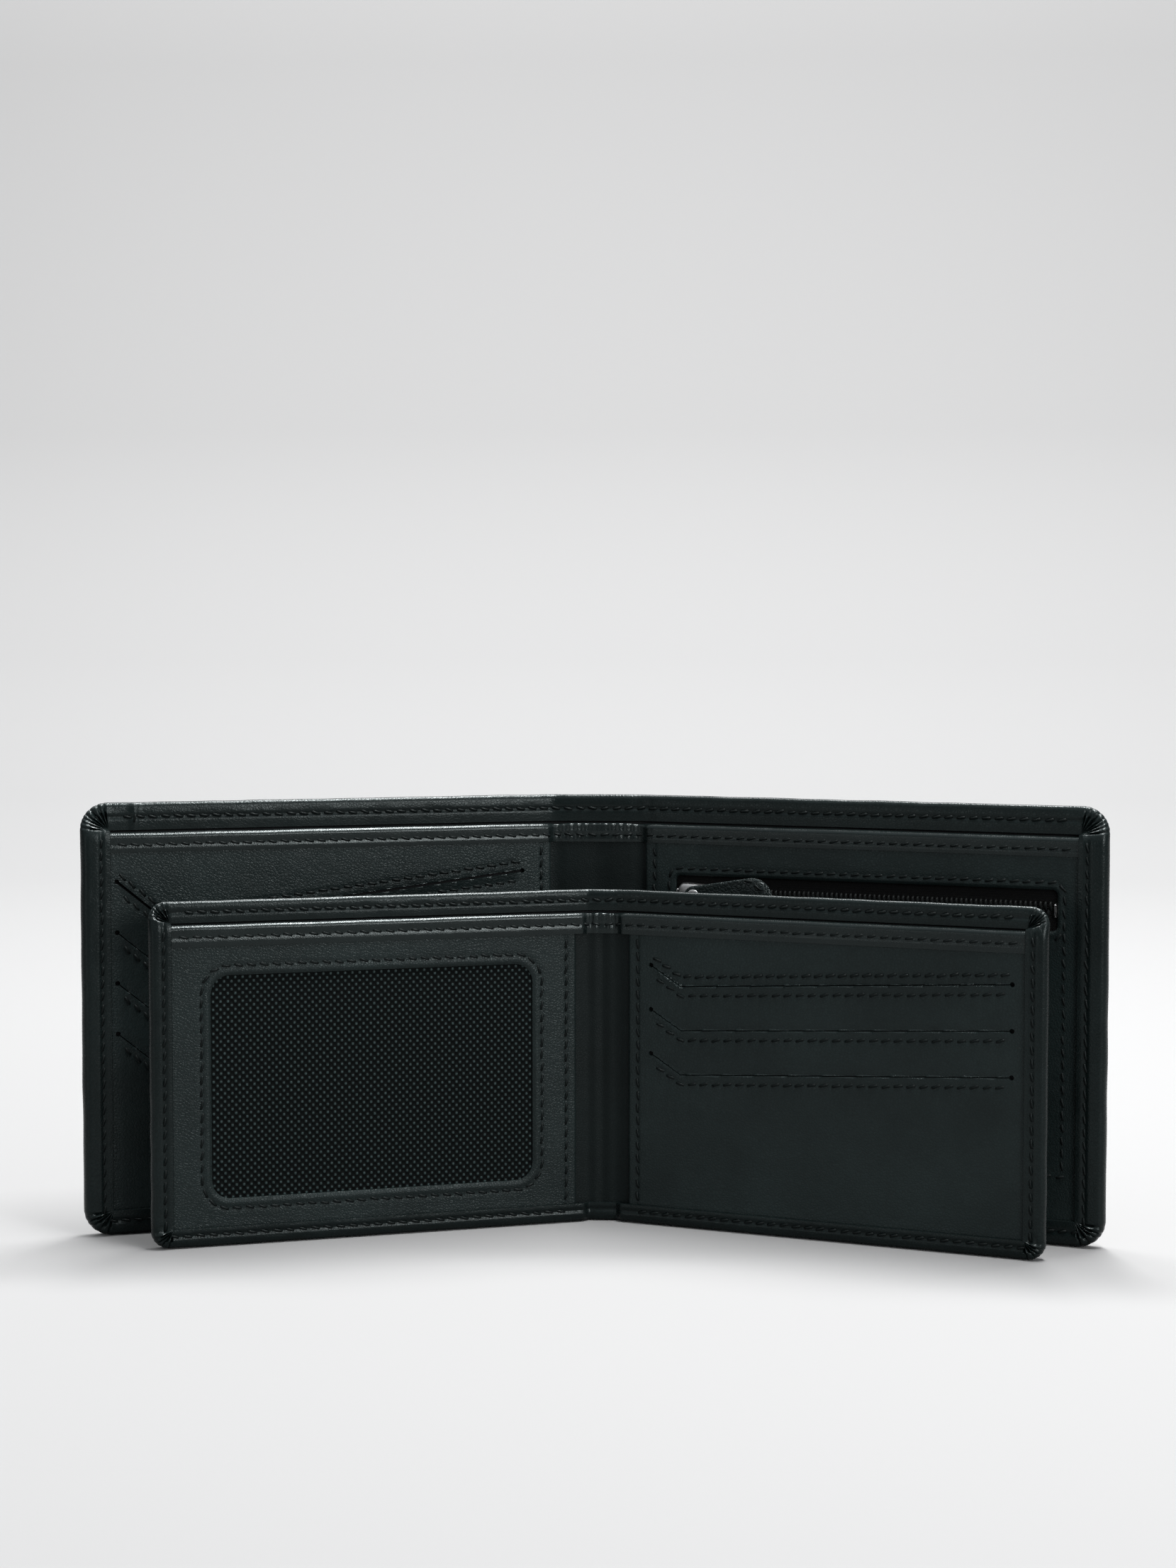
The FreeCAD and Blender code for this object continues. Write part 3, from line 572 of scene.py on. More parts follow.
def cover_half(part, side):
    """Half of the outer leather: back sheet, rolled edge, and the strip turned round to the front."""
    lines_across, lines_up = cover_lines(part)
    wide, high = rounded_grid(part, *grid(lines_across, lines_up), part.edge)
    rows, columns = wide.shape
    seed = 11 if part is OUTER else 23
    inner = smooth((part.leaf - part.edge - wide) / 8)
    back = 0.10 * inner * ripple(wide, high, 46, seed + side)
    index = np.arange(rows * columns).reshape(rows, columns)
    border = np.concatenate([index[:, 0], index[-1, 1:], index[-2::-1, -1]])
    edge_across, edge_up = wide.ravel()[border], high.ravel()[border]
    radius = part.round - part.edge
    core_across = np.clip(edge_across, None, part.leaf - part.edge - radius)
    core_up = np.clip(edge_up, part.edge + radius, part.tall - part.edge - radius)
    out = np.stack([edge_across - core_across, edge_up - core_up], -1)
    out /= np.linalg.norm(out, axis=1)[:, None]
    end_across = np.clip(edge_across, None, part.leaf - part.border)
    end_up = np.clip(edge_up, part.foot, part.tall - part.hem)
    thick = rim_thickness(part, side, edge_across, edge_up)
    blunt = np.where(thick < part.stack * 0.7, 0.62, 0.85)
    wave = 0.12 * ripple(edge_across, edge_up, 14, seed + 3 * side)
    layers = []

    def layer(across, up, depth):
        layers.append((np.stack([across, up], -1), depth))

    for angle in np.linspace(0, math.pi, 13)[1:]:
        reach = part.edge * math.sin(angle) ** blunt + wave * math.sin(angle)
        fold = pleats(part, edge_across + out[:, 0] * 2, edge_up + out[:, 1] * 2, seed)
        lift = thick * (1 - math.cos(angle)) / 2
        reach = reach + 0.30 * fold * math.sin(angle)
        lift = lift + 1.1 * fold * smooth((angle - 1.4) / 1.4)
        layer(edge_across + out[:, 0] * reach, edge_up + out[:, 1] * reach, lift)
    for share in np.linspace(0, 1, 19)[1:]:
        across = edge_across + (end_across - edge_across) * share
        up = edge_up + (end_up - edge_up) * share
        level = rim_thickness(part, side, across, np.where(edge_up > part.tall - part.round, edge_up, up))
        side_seam = part.leaf - part.seam_side
        crown = 0.10 * math.sin(math.pi * share)
        groove = bell(part.leaf - across - part.seam_side, 0.55) * (up > part.seam_foot)
        groove = np.maximum(groove, bell(up - part.seam_foot, 0.55) * (across < side_seam))
        groove = np.maximum(groove, bell(part.tall - up - part.hem_seam, 0.5))
        depth = level + crown - 0.30 * groove + 1.9 * pleats(part, across, up, seed)
        depth = depth + 0.07 * ripple(across, up, 7, seed + 5)
        layer(across, up, depth)
    tuck = 0.15
    under = np.maximum(thick - part.turn, part.cover + 0.02)
    layer(end_across - out[:, 0] * tuck, end_up - out[:, 1] * tuck, (layers[-1][1] + under) / 2)
    layer(end_across, end_up, under)
    wall_out = part.edge - 0.9
    for depth in (under, np.full(len(border), part.cover)):
        layer(edge_across + out[:, 0] * wall_out, edge_up + out[:, 1] * wall_out, depth)

    count = rows * columns
    stations = len(border)
    points = [place(part, side, wide, back, high).reshape(-1, 3)]
    flats = [np.stack([wide, high], -1).reshape(-1, 2)]
    for spots, depth in layers:
        points.append(place(part, side, spots[:, 0], depth, spots[:, 1]))
        flats.append(spots)
    points.append(place(part, side, wide, part.cover, high).reshape(-1, 3))
    flats.append(flats[0])
    faces = quads(rows, columns) + quads(rows, columns, count + stations * len(layers))
    rim = quads(len(layers), stations, count)
    this, after = np.arange(stations - 1), np.arange(1, stations)
    first = np.stack([border[:-1], border[1:], count + after, count + this], -1)
    last_row = count + stations * (len(layers) - 1)
    inner_start = count + stations * len(layers)
    last = np.stack([last_row + this, last_row + after, inner_start + border[1:],
                     inner_start + border[:-1]], -1)
    faces += rim + first.tolist() + last.tolist()
    name = f"{part.tag}cover_{hand(side)}_leather"
    piece = object_from(name, np.concatenate(points), faces, np.concatenate(flats), sharp=55)
    dress(piece, "cover_leather", f"{part.tag}cover_{hand(side)}", f"{part.tag}cover_spine")
    bends(piece, part, side)


# ---------------------------------------------------------------- linings, strips and bindings


def linings(part, side):
    """Cloth inside the note compartment: one sheet on the cover, one on the back of the front leaf."""
    tag, name = part.tag, hand(side)
    up = spaced(INNER_EDGE, 2.0, part.tall - 1.8)
    across = spaced(-part.axis_half, 0.8, part.bend, 2.0, part.leaf - INNER_EDGE)
    wide, high = grid(across, up)
    back = part.cover + 0.02
    front = back + LINING - 0.04 + 0.03 * ripple(wide, high, 12, 31)
    sheet = slab(f"{tag}note_lining_{name}_cloth", part, side, across, up, front, back, rigid=False)
    dress(sheet, "lining_cloth", f"{tag}note_lining_{name}", f"{tag}note_lining_spine")
    bends(sheet, part, side)
    cloth(sheet, across, up, f"{tag}cover_{name}_leather")
    up = spaced(INNER_EDGE, 2.0, part.front_top - 0.8)
    across = spaced(part.setback, 2.0, part.leaf - INNER_EDGE)
    wide, high = grid(across, up)
    back = part.divider_back + 0.03 * ripple(wide, high, 14, 37)
    sewn_cloth(f"{tag}divider_{name}_cloth", "lining_cloth", part, side, across, up,
               part.divider_back + DIVIDER, back, f"{tag}divider_{name}", f"{tag}cover_{name}_leather")


def centre_strip(part, side):
    """The softer leather between the two panels, creased along the middle of the spine."""
    across = spaced(-part.axis_half, 0.3, 3.5)
    up = spaced(0.9, 0.8, part.front_top - 0.7)
    wide, high = grid(across, up)
    from_middle = wide + part.axis_half
    crease = bell(from_middle, part.axis_half * 0.30)
    soft = ripple(wide, high, 24, 41)
    show = smooth((1.0 - wide) / 2)
    front = part.strip_front - 0.38 * crease + 0.10 * soft * show - 0.05 * show
    back = part.divider_back - 0.35 * crease
    name = f"{part.tag}centre_strip_{hand(side)}_leather"
    strip = slab(name, part, side, across, up, front, back, rigid=False)
    dress(strip, "strip_leather", f"{part.tag}centre_strip")
    bends(strip, part, side)


def binding_front(part, across):
    """Depth of the binding's front face: level with the panels on the leaf, lower over the spine."""
    on_leaf = smooth((across + 1.0) / 3.0)
    leaf_depth = part.face_front + BIND_FRONT
    spine_depth = part.strip_front + BIND_FRONT
    return spine_depth + (leaf_depth - spine_depth) * on_leaf


def binding_half(part, side):
    """A strip of thin leather rolled over the top of the front leaf."""
    across = spaced(-part.axis_half, 0.3, 6.0, 1.0, part.leaf - part.border - 0.15)
    seed = 53 if part is OUTER else 59
    front = binding_front(part, across)
    back = part.divider_back - 0.25 + 0 * across
    top = part.front_top + 0.10 * ripple(across, 0 * across, 22, seed + side) - 0.25 * bell(across + 1, 2.5)
    wrinkle = bell(across + part.axis_half * 0.45, part.axis_half * 0.45)
    wrinkle = wrinkle * np.sin(across * 2 * math.pi / 1.9 + seed) * (0.16 if part is OUTER else 0.24)
    thick = 0.42
    roll = (front - back) / 2
    crest = np.minimum(roll, 1.3)
    rings = []
    flats = []
    low = part.front_top - part.bind_tall
    outer_turn = np.linspace(0, math.pi, 13)
    stations = zip(across, front, back, top, wrinkle, roll, crest)
    for place_across, near, far, high, bump, half, rise in stations:
        middle = (near + far) / 2
        face_up = np.linspace(low, high - rise, 9)
        puff = 0.16 * np.sin(np.linspace(0, math.pi, 9))
        puff = puff - 0.22 * bell(face_up - (part.front_top - SEAM_TOP), 0.5)
        face_depth = near - 0.22 + puff + bump * np.linspace(0.4, 1, 9)
        over_depth = middle + half * np.cos(outer_turn) + (bump - 0.10) * (1 - outer_turn / math.pi)
        over_up = high - rise + rise * np.sin(outer_turn)
        inner_turn = outer_turn[::-1]
        inside_depth = middle + (half - thick) * np.cos(inner_turn)
        inside_up = high - rise + (rise - thick * 0.8) * np.sin(inner_turn)
        depth = np.concatenate([face_depth[:-1], over_depth, [far, far + thick * 0.6], inside_depth,
                                [near - thick - 0.2]])
        up = np.concatenate([face_up[:-1], over_up, [low, low], inside_up, [low]])
        rings.append(place(part, side, np.full(len(up), place_across), depth, up))
        flats.append(np.stack([np.full(len(up), place_across), up + depth], -1))
    name = f"{part.tag}binding_{hand(side)}_leather"
    strip = loft(name, rings, np.array(flats), sharp=60)
    dress(strip, "binding_leather", f"{part.tag}binding_{hand(side)}", f"{part.tag}binding_spine")
    bends(strip, part, side)


def leaf_threads(part, side, extra):
    """Stitching on a leaf: along the turned edge, the panel's inner edge and what the panel adds."""
    side_at = part.leaf - part.seam_side
    inner_at = part.setback + SEAM_INNER
    over = part.stack - 0.12
    under_binding = part.front_top - part.bind_tall - 0.8
    runs = [
        ([(side_at, part.seam_foot + 1), (side_at, part.front_top - 1)], over),
        ([(inner_at, part.seam_foot), (side_at - 0.5, part.seam_foot)], over),
        ([(inner_at, part.foot + 0.6), (inner_at, under_binding)], part.face_front - 0.08),
    ]
    thread = stitches(f"{part.tag}thread_{hand(side)}_stitches", part, side, runs + extra, seed=61 + side)
    dress(thread, "thread", f"{part.tag}thread_{hand(side)}", body=leaf_body(part, side))
    hem_up = part.tall - part.hem_seam
    top_up = part.front_top - SEAM_TOP
    far = part.leaf - part.border - 1.5
    runs = [
        ([(-part.axis_half, top_up), (far, top_up)], lambda across, up: binding_front(part, across) - 0.22),
        ([(-part.axis_half, hem_up), (part.leaf - part.border - 3, hem_up)], part.cover + HEM_THICK - 0.06),
    ]
    bar = part.leaf - 13.0
    if part is OUTER and side < 0:
        runs.append(([(bar, part.tall - 6.2), (bar, part.tall - 1.2)], part.cover + HEM_THICK + 0.35))
    name = f"{part.tag}thread_over_{hand(side)}_stitches"
    thread = stitches(name, part, side, runs, rigid=False, seed=71 + side)
    dress(thread, "thread", f"{part.tag}thread_spine")
    bends(thread, part, side)


# ---------------------------------------------------------------- front panels


def rounded_outline(near, far, low, high, radius, grow=0.0, steps=8):
    """Points round a rectangle with rounded corners, once round from its lower near corner."""
    radius = max(radius + grow, 0.3)
    near, low, far, high = near - grow, low - grow, far + grow, high + grow
    points = []
    left, right, foot, top = near + radius, far - radius, low + radius, high - radius
    corners = ((right, foot, -90), (right, top, 0), (left, top, 90), (left, foot, 180))
    for centre_across, centre_up, start in corners:
        for angle in np.radians(np.linspace(start, start + 90, steps)):
            points.append((centre_across + radius * math.cos(angle), centre_up + radius * math.sin(angle)))
    return points


def box_distance(wide, high, shape):
    """Distance outside a rounded rectangle (negative inside)."""
    middle_across, middle_up = (shape.near + shape.far) / 2, (shape.low + shape.high) / 2
    out = np.abs(wide - middle_across) - (shape.far - shape.near) / 2 + shape.round
    along = np.abs(high - middle_up) - (shape.high - shape.low) / 2 + shape.round
    outside = np.hypot(np.maximum(out, 0), np.maximum(along, 0))
    return outside + np.minimum(np.maximum(out, along), 0) - shape.round


def panel_grid(part, spacing=0.5):
    across = spaced(part.setback, 0.25, part.setback + 4, spacing, part.leaf - INNER_EDGE)
    up = spaced(INNER_EDGE, spacing, part.front_top - 0.7)
    return across, up, *grid(across, up)


def panel_front(part, wide, high, seed):
    """The panel's front: slightly uneven, rolled at its inner edge, drawn in along its seams."""
    front = part.face_front + 0.07 * ripple(wide, high, 30, seed) + 0.03 * ripple(wide, high, 8, seed + 1)
    from_inner = wide - part.setback
    rolled = np.clip(1 - from_inner / 0.7, 0, 1)
    front = front - 0.4 * (1 - np.sqrt(1 - rolled ** 2 * 0.98))
    front = front - 0.16 * bell(from_inner - SEAM_INNER, 0.5)
    hidden = smooth((wide - (part.leaf - part.border + 0.2)) / 0.6) + smooth((part.foot - 0.2 - high) / 0.6)
    hidden = hidden + smooth((high - (part.front_top - part.bind_tall) - 0.3) / 0.6)
    near_edge = bell(part.leaf - part.border - wide, 1.3) + bell(high - part.foot, 1.3)
    return front + 0.06 * near_edge - 0.12 * np.clip(hidden, 0, 1)


def cut_out(piece, cutter):
    """Takes the cutter's shape out of the piece for good."""
    change = piece.modifiers.new("opening", "BOOLEAN")
    change.operation = "DIFFERENCE"
    change.solver = "EXACT"
    change.object = cutter
    graph = bpy.context.evaluated_depsgraph_get()
    mesh = bpy.data.meshes.new_from_object(piece.evaluated_get(graph))
    piece.modifiers.clear()
    old = piece.data
    piece.data = mesh
    bpy.data.meshes.remove(old)
    bpy.data.objects.remove(cutter)
    mesh.set_sharp_from_angle(angle=math.radians(40))


def prism(part, side, outlines, low, high):
    """A cutter: closed outlines carried straight through a leaf from one depth to another."""
    points, faces = [], []
    for outline in outlines:
        start = len(points)
        count = len(outline)
        for depth in (low, high):
            for across, up in outline:
                points.append(place(part, side, across, depth, up, True).tolist())
        faces += (start + tube(2, count)).tolist()
        faces.append(list(range(start, start + count)))
        faces.append(list(range(start + count, start + 2 * count)))
    return object_from("cutter", points, faces)


def opened_panel(part, side, node, across, up, front, outlines):
    """A leather panel with openings cut right through it."""
    panel = slab(f"{node}_leather", part, side, across, up, front, part.face_back)
    cut_out(panel, prism(part, side, outlines, part.face_back - 1, part.face_front + 2))
    dress(panel, "panel_leather", node, body=leaf_body(part, side))


def slot_routes(slots):
    """The bent line of each card slot, from its inner hole to its outer hole."""
    for index in range(slots.count):
        height = slots.top - index * slots.pitch
        yield [(slots.near, height), (slots.knee, height - slots.dip), (slots.far, height)]


def slot_outline(route, opening):
    """A narrow bent opening with a round hole at each end, as one closed outline."""
    (near, end_up), (knee, knee_up), (far, _) = route
    points = []
    first = math.atan2(knee_up - end_up, knee - near)
    last = math.atan2(end_up - knee_up, far - knee)
    spread = math.asin(min(opening / 2 / SLOT_HOLE, 0.9))
    for end, start, way in ((near, first, -1), (far, last + math.pi, 1)):
        for angle in np.linspace(start + spread, start + 2 * math.pi - spread, 12):
            points.append((end + SLOT_HOLE * math.cos(angle), end_up + SLOT_HOLE * math.sin(angle)))
        points.append((knee, knee_up + way * opening / 2))
    return points


def shifted(route, offset, trim):
    """The route moved up or down, and shortened at both ends."""
    (near, end_up), (knee, knee_up), (far, _) = route
    near_slope = (knee_up - end_up) / (knee - near)
    far_slope = (end_up - knee_up) / (far - knee)
    return [(near + trim, end_up + near_slope * trim + offset), (knee, knee_up + offset),
            (far - trim, end_up - far_slope * trim + offset)]


def card_panel(part, side, slots, node, pocket, seed):
    """A panel with bent card slots whose lower lips stand slightly open, and the cloth pockets behind."""
    across, up, wide, high = panel_grid(part)
    front = panel_front(part, wide, high, seed)
    runs = []
    outlines = []
    for index, route in enumerate(slot_routes(slots)):
        line = np.interp(wide, [p[0] for p in route], [p[1] for p in route])
        above = high - line
        along = smooth((wide - slots.near) / 3) * smooth((slots.far - wide) / 3)
        lip = 0.42 if index == 0 else 0.20
        front = front + along * lip * np.where(above < 0, np.exp(above / 1.7), 0)
        front = front - along * 0.26 * np.where(above >= 0, np.exp(-above / 1.1), 0)
        lines = (-SLOT_SEAM, SLOT_SEAM) if index == 0 else (-SLOT_SEAM,)
        for offset in lines:
            front = front - 0.13 * along * bell(above - offset, 0.5)
            run = shifted(route, offset, 1.2 if offset < 0 else 0.2)
            runs.append((run, part.face_front + lip * 0.25 - 0.06))
        outlines.append(slot_outline(route, SLOT_WIDE + (0.40 if index == 0 and part is OUTER else 0.0)))
    opened_panel(part, side, node, across, up, front, outlines)
    for index in range(slots.count):
        mouth = slots.top - index * slots.pitch
        pocket_across = spaced(slots.near - POCKET_MARGIN, 2.5, slots.far + POCKET_MARGIN)
        pocket_up = spaced(mouth - slots.deep, 2.5, mouth + POCKET_MARGIN)
        near = part.divider_back + DIVIDER + POCKET_STEP / 3 + index * POCKET_STEP
        wave = 0.02 * ripple(*grid(pocket_across, pocket_up), 15, 81 + index)
        sewn_cloth(f"{pocket}_{index + 1}_cloth", "pocket_cloth", part, side, pocket_across, pocket_up,
                   near + POCKET_CLOTH + wave, near + wave, f"{pocket}_{index + 1}", f"{node}_leather")
    return runs


def window_panel(part, side, node, shape, seed, lip):
    """A panel with one rounded opening whose edge is rolled back."""
    across, up, wide, high = panel_grid(part)
    front = panel_front(part, wide, high, seed)
    away = box_distance(wide, high, shape)
    rolled = np.clip(1 - away / lip, 0, 1)
    front = front - 0.45 * (1 - np.sqrt(1 - 0.98 * rolled ** 2)) - 0.15 * bell(away - shape.seam, 0.5)
    front = front + 0.10 * bell(away - lip, 0.7)
    box = (shape.near, shape.far, shape.low, shape.high, shape.round)
    opened_panel(part, side, node, across, up, front, [rounded_outline(*box)])
    ring = rounded_outline(*box, grow=shape.seam)
    return ring + ring[:1]


def identity_pocket(part, side):
    """Woven mesh stretched behind the window, and the cloth back of its pocket."""
    across = spaced(WINDOW.near - 1.2, MESH_PITCH / 3, WINDOW.far + 1.2)
    up = spaced(WINDOW.low - 1.2, MESH_ROWS / 3, WINDOW.high + 1.2)
    wide, high = grid(across, up)
    crest = 0.5 + 0.5 * np.cos(math.pi * wide / MESH_PITCH) * np.cos(math.pi * high / MESH_ROWS)
    sag = 0.05 * ripple(wide, high, 25, 91)
    front = part.face_back - 0.16 + 0.40 * crest ** 1.4 + sag
    sewn_cloth("id_window_mesh_weave", "window_mesh", part, side, across, up, front,
               part.face_back - 0.35 + sag, "id_window_mesh", "id_frame_panel_leather")
    across = spaced(WINDOW.near - MESH_MARGIN, 2.0, WINDOW.far + MESH_MARGIN)
    up = spaced(WINDOW.low - MESH_MARGIN, 2.0, WINDOW.high + MESH_MARGIN)
    wide, high = grid(across, up)
    near = part.divider_back + DIVIDER + 0.06
    front = near + 0.15 + 0.02 * ripple(wide, high, 15, 93)
    sewn_cloth("id_pocket_back_cloth", "pocket_cloth", part, side, across, up, front, near,
               "id_pocket_back", "id_frame_panel_leather")


# ---------------------------------------------------------------- zip


def zip_rows(part, side):
    """Tapes and interlocking coils of the coin pocket's zip, its stops and the coin bag."""
    body = leaf_body(part, side)
    tape_across = spaced(ZIP.near - 1.8, 1.0, ZIP.far + 1.8)
    for row_name, way in (("upper", 1), ("lower", -1)):
        ends = sorted((ZIP_MID + way * 0.1, ZIP_MID + way * 8.1))
        up = spaced(ends[0], 0.5, ends[1])
        wide, high = grid(tape_across, up)
        swell = 0.10 * bell(np.abs(high - ZIP_MID) - 3.0, 0.6)
        tape = slab(f"zip_tape_{row_name}_cloth", part, side, tape_across, up, part.face_back + swell - 0.05,
                    part.face_back - 0.35)
        dress(tape, "zip_tape", f"zip_tape_{row_name}", body=body)
        teeth(part, side, row_name, way)
    stops = []
    for at in (ZIP.near + 0.5, ZIP.far - 0.5):
        for lift, wide, high in ((0.0, 0.34, 1.6), (0.5, 0.36, 1.7), (1.0, 0.30, 1.6), (1.2, 0.16, 1.4)):
            ring = rounded_outline(at - wide, at + wide, ZIP_MID - high, ZIP_MID + high, 0.25)
            stops.append([(across, part.face_back + lift, up) for across, up in ring])
    rings = np.array(stops)
    points = place(part, side, rings[..., 0], rings[..., 1], rings[..., 2], True)
    halves = [loft("zip_stop", points[:4]), loft("zip_stop", points[4:])]
    stop = joined("zip_stops_metal", halves)
    dress(stop, "zip_metal", "zip_stops", body=body)
    bag_across = spaced(ZIP.near - 1.6, 2.5, ZIP.far + 1.6)
    back_depth = part.divider_back + DIVIDER + 0.06
    for node, up, near in (("coin_bag_back", spaced(COIN_LOW, 2.5, ZIP.high + 1.6), back_depth),
                           ("coin_bag_front", spaced(COIN_LOW, 2.5, ZIP_MID - 8.2), part.face_back - 0.3)):
        wide, high = grid(bag_across, up)
        front = near + 0.13 + 0.015 * ripple(wide, high, 18, 97)
        sewn_cloth(f"{node}_cloth", "pocket_cloth", part, side, bag_across, up, front, near, node,
                   "coin_panel_leather")


def teeth(part, side, row_name, way):
    """One row of a nylon coil: a bowed loop for each turn, set half a pitch from the other row."""
    pitch = 1.2
    start = ZIP.near + 1.2 + (0 if way > 0 else pitch / 2)
    places_across = np.arange(start, ZIP.far - 1.2, pitch)
    path = np.linspace(0, 1, 9)
    reach = 2.15 - 2.6 * path
    lift = 0.38 + 0.62 * np.sin(np.pi * np.clip(path, 0, 1)) ** 0.8
    lean = 0.28 * (path - 0.5)
    around = np.linspace(0, 2 * math.pi, 7)[:-1]
    girth = 0.33 * np.array([0.6, 0.95, 1, 1, 1, 1, 1.05, 1.0, 0.5])
    across = places_across[:, None, None] + lean[None, :, None] + girth[None, :, None] * np.cos(around)
    depth = part.face_back + lift[None, :, None] + girth[None, :, None] * np.sin(around) * 0.8 + 0 * across
    up = ZIP_MID + way * (reach[None, :, None] + 0.0 * across)
    points = place(part, side, across, depth, up, True)
    loops = [loft("tooth", one) for one in points]
    coil = joined(f"zip_coil_{row_name}_loops", loops)
    dress(coil, "zip_coil", f"zip_coil_{row_name}", body=leaf_body(part, side))


def joined(name, pieces):
    """Several objects as one."""
    shape = bmesh.new()
    for piece in pieces:
        shape.from_mesh(piece.data)
        bpy.data.objects.remove(piece)
    mesh = bpy.data.meshes.new(name)
    shape.to_mesh(mesh)
    shape.free()
    mesh.shade_smooth()
    mesh.set_sharp_from_angle(angle=math.radians(45))
    return linked(name, mesh)


def arch(half, low, top, angles, square, crown):
    """Points along a squarish arch."""
    return [(half * math.copysign(abs(math.cos(angle)) ** square, math.cos(angle)),
             low + (top - low) * math.sin(angle) ** crown) for angle in angles]


def slider(part, side):
    """The zip slider: a crowned cap with skirts, wider at its nose, and the stud that holds the puller."""
    near, long = 10.5, 8.6
    rings = []
    for share in np.linspace(0, 1, 15):
        end = math.sqrt(max(0.0, 1 - abs(2 * share - 1) ** 5))
        half = (3.3 - 0.55 * share) * (0.72 + 0.28 * end)
        top = 4.35 + 0.72 * (0.55 + 0.45 * end)
        low = 3.05
        outside = arch(half, low, top, np.linspace(0, math.pi, 13), 0.45, 0.5)
        inside = arch(min(half - 0.45, 2.55), low, 4.15, np.linspace(math.pi, 0, 9), 0.4, 0.4)
        section = np.array(outside + inside)
        rings.append(place(part, side, near + share * long, section[:, 1], ZIP_MID + section[:, 0], True))
    cap = loft("slider_cap", rings)
    stud_at = 14.8
    rings = []
    around = np.linspace(0, 2 * math.pi, 25)[:-1]
    for depth, radius in ((4.9, 1.3), (5.05, 1.05), (5.2, 0.95), (6.05, 0.95), (6.1, 1.55), (6.17, 1.7),
                          (6.28, 1.6), (6.37, 1.15), (6.4, 0.4)):
        across, up = stud_at + radius * np.cos(around), ZIP_MID + radius * np.sin(around)
        rings.append(place(part, side, across, depth, up, True))
    stud = loft("slider_stud", rings)
    whole = joined("zip_slider_metal", [cap, stud])
    dress(whole, "zip_metal", "zip_slider", body="zip_slider")


def puller(part, side):
    """A drop-shaped leather tab on the slider's stud, bowed a little and stitched round its edge."""
    pivot, long, small, large = 14.8, 15.5, 2.5, 5.1
    lean = math.asin((large - small) / long)
    outline = []
    for centre, radius, start, end in ((pivot, small, math.pi / 2 + lean, 1.5 * math.pi - lean),
                                       (pivot + long, large, -math.pi / 2 - lean, math.pi / 2 + lean)):
        for angle in np.linspace(start, end, 25):
            outline.append((centre + radius * math.cos(angle) - pivot, radius * math.sin(angle)))
    outline = np.array(outline)
    around = np.linspace(0, 2 * math.pi, len(outline), endpoint=False)
    hole = 1.12 * np.stack([np.cos(around), np.sin(around)], -1)
    turn = np.argmin(np.abs(np.arctan2(hole[:, 1], hole[:, 0]) - np.arctan2(outline[0, 1], outline[0, 0])))
    hole = np.roll(hole, -turn, axis=0)
    rings = []
    shares = [0.0, 0.0, 0.25, 0.5, 0.75, 0.9, 0.97, 1.0, 0.97, 0.9, 0.5, 0.0]
    lifts = [0.12, 0.75, 0.84, 0.88, 0.88, 0.82, 0.65, 0.4, 0.14, 0.0, 0.0, 0.0]
    for share, lift in zip(shares, lifts):
        spots = hole + (outline - hole) * share
        bow = 0.30 * np.sin(np.pi * np.clip(spots[:, 0] / 20, 0, 1))
        depth = 5.08 + lift + bow
        rings.append(place(part, side, pivot + spots[:, 0], depth, ZIP_MID + spots[:, 1], True))
    tab = object_from("zip_pull_leather", rings, tube(len(rings), len(outline), True).tolist())
    dress(tab, "puller_leather", "zip_pull", body="zip_pull")
    inset = outline * 0.86 + np.array([0.4, 0.0])
    keep = [(pivot + across, ZIP_MID + up) for across, up in inset if across > 3.5]
    thread = stitches("zip_pull_stitches", part, side, [(keep, 6.08)], seed=99)
    dress(thread, "thread", body="zip_pull")


# ---------------------------------------------------------------- stage


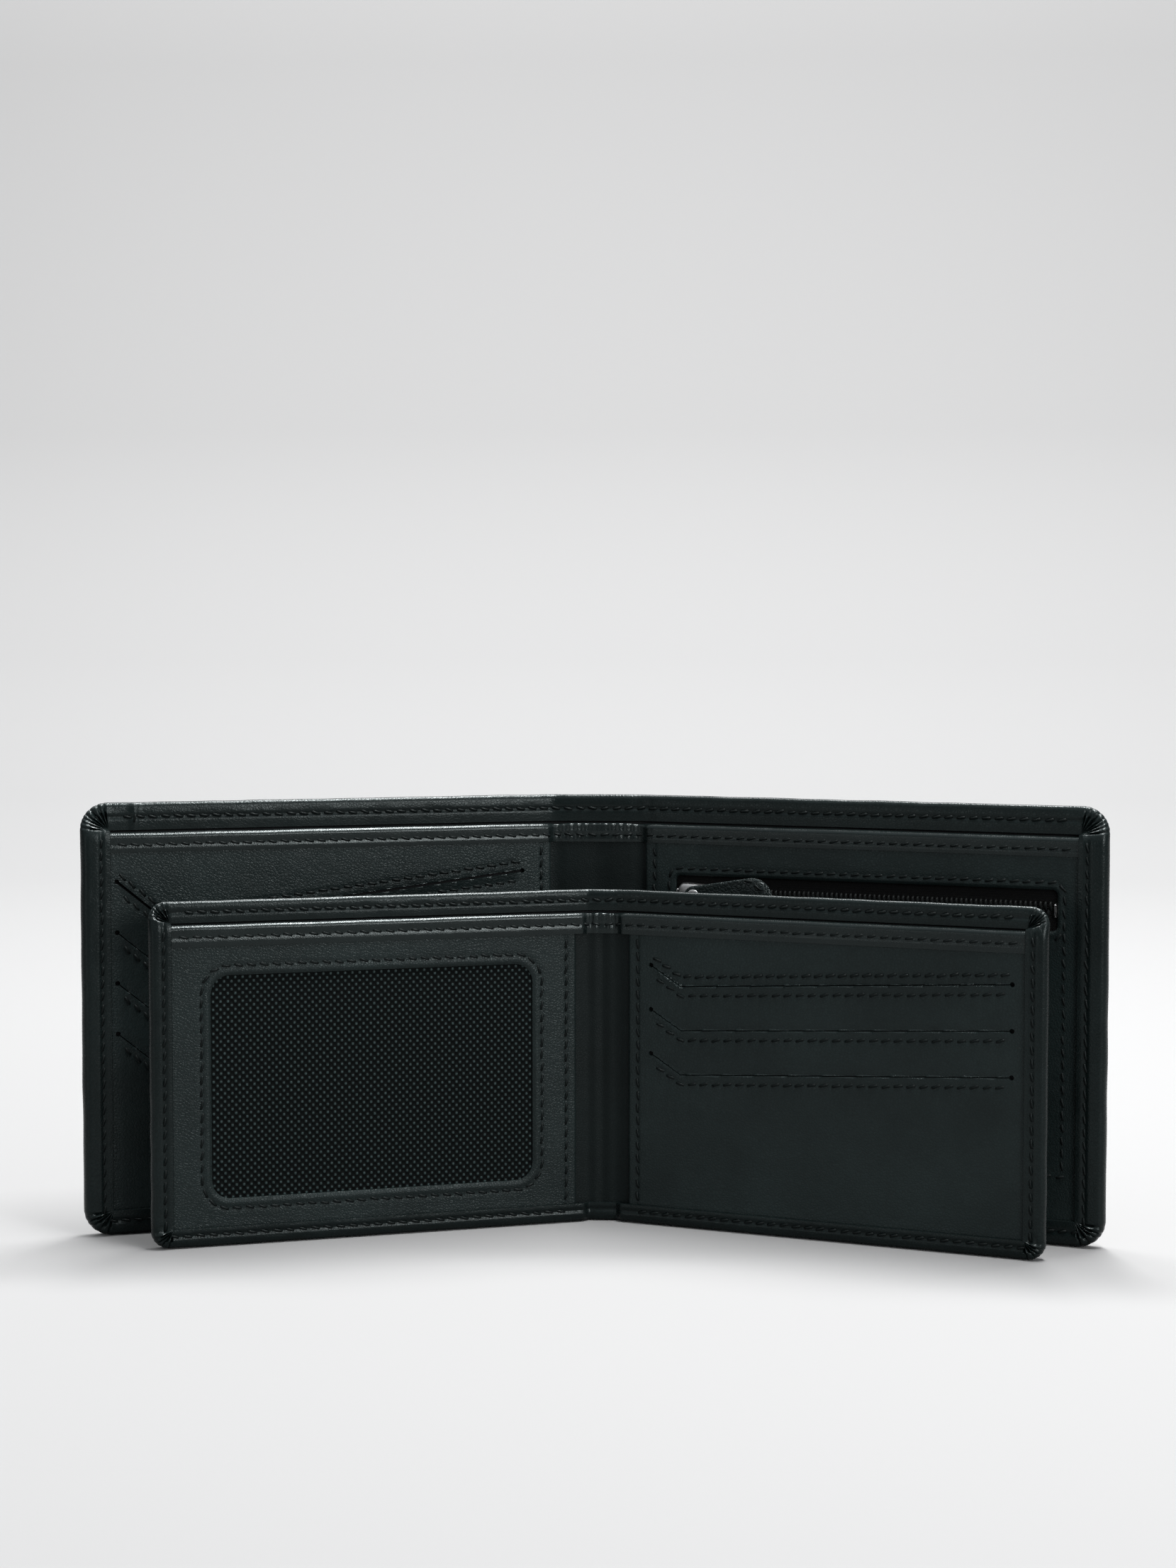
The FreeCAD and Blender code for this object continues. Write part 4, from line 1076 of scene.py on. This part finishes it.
def stage():
    """Pale seamless floor, a world brighter overhead, and soft lights."""
    profile = [(-1.6, 0.0), (0.9, 0.0), (1.15, 0.03), (1.35, 0.12), (1.5, 0.3), (1.55, 0.6), (1.55, 2.4)]
    rings = [[(-2.5, y, z), (2.5, y, z)] for y, z in profile]
    points = [point for ring in rings for point in ring]
    faces = [[2 * i, 2 * i + 1, 2 * i + 3, 2 * i + 2] for i in range(len(profile) - 1)]
    mesh = bpy.data.meshes.new("floor")
    mesh.from_pydata(points, [], faces)
    mesh.shade_smooth()
    floor = linked("floor", mesh)
    shader = Shader("pale_floor")
    shader.inputs["Base Color"].default_value = (0.175, 0.175, 0.175, 1)
    shader.inputs["Roughness"].default_value = 0.9
    shader.inputs["Specular IOR Level"].default_value = 0.1
    mesh.materials.append(shader.material)

    world = bpy.data.worlds.new("studio")
    bpy.context.scene.world = world
    world.use_nodes = True
    tree = world.node_tree
    heading = tree.nodes.new("ShaderNodeTexCoord")
    parts = tree.nodes.new("ShaderNodeSeparateXYZ")
    tree.links.new(heading.outputs["Generated"], parts.inputs[0])
    rise = tree.nodes.new("ShaderNodeMapRange")
    for name, number in (("From Min", 0.0), ("From Max", 0.8), ("To Min", 0.06), ("To Max", 1.10)):
        rise.inputs[name].default_value = number
    tree.links.new(parts.outputs["Z"], rise.inputs["Value"])
    tree.links.new(rise.outputs["Result"], tree.nodes["Background"].inputs["Strength"])
    tree.nodes["Background"].inputs["Color"].default_value = (0.94, 0.97, 1.0, 1)
    softbox("strip", (0.16, 0.04, 1.0), (0.0, 0.0, 0.05), (0.9, 0.12), 31.0)
    softbox("wall", (0.0, 0.75, 1.7), (0.0, 1.5, 0.4), (2.4, 0.5), 118.0)
    softbox("window", (0.67, -0.87, 0.36), (0.0, 0.0, 0.05), (0.45, 0.35), 7.0)
    softbox("fill", (-0.75, -1.0, 0.10), (0.0, 0.0, 0.05), (0.5, 0.3), 0.9)


def softbox(name, spot, aim, size, power):
    light = bpy.data.lights.new(name, "AREA")
    light.shape = "RECTANGLE"
    light.size, light.size_y = size
    light.energy = power
    lamp = linked(name, light)
    lamp.location = spot
    lamp.rotation_euler = (Vector(aim) - Vector(spot)).to_track_quat("-Z", "Y").to_euler()


def camera():
    """A little above the wallet's top and to its right, turned back towards it and tipped slightly down."""
    azimuth, pitch = math.radians(3.194), math.radians(3.327)
    data = bpy.data.cameras.new("camera")
    data.lens = 62.3
    data.sensor_width = 36.0
    eye = linked("camera", data)
    eye.location = (0.03516, OUTER.axis_y * MM - 0.67743, 0.14608)
    ahead = Vector((-math.sin(azimuth), math.cos(azimuth), 0)) * math.cos(pitch)
    eye.rotation_euler = (ahead - Vector((0, 0, math.sin(pitch)))).to_track_quat("-Z", "Y").to_euler()
    bpy.context.scene.camera = eye


bpy.context.scene.view_settings.view_transform = "Standard"
stage()
camera()

for part in (OUTER, INSERT):
    for side in (-1, 1):
        cover_half(part, side)
        linings(part, side)
        centre_strip(part, side)
        binding_half(part, side)

leaf_threads(OUTER, -1, card_panel(OUTER, -1, OUTER_SLOTS, "card_panel", "card_pocket", 101))
leaf_threads(INSERT, 1, card_panel(INSERT, 1, INSERT_SLOTS, "insert_card_panel", "insert_card_pocket", 103))

window_ring = window_panel(INSERT, -1, "id_frame_panel", WINDOW, 105, 1.0)
leaf_threads(INSERT, -1, [(window_ring, INSERT.face_front - 0.10)])
identity_pocket(INSERT, -1)

zip_ring = window_panel(OUTER, 1, "coin_panel", ZIP, 107, 0.9)
bag_side = ZIP.far + ZIP.seam
bag_near = ZIP.near - ZIP.seam
bag_run = [(bag_side, ZIP.low), (bag_side, COIN_LOW), (bag_near, COIN_LOW), (bag_near, ZIP.low)]
leaf_threads(OUTER, 1, [(zip_ring, OUTER.face_front - 0.10), (bag_run, OUTER.face_front - 0.06)])
zip_rows(OUTER, 1)
slider(OUTER, 1)
puller(OUTER, 1)
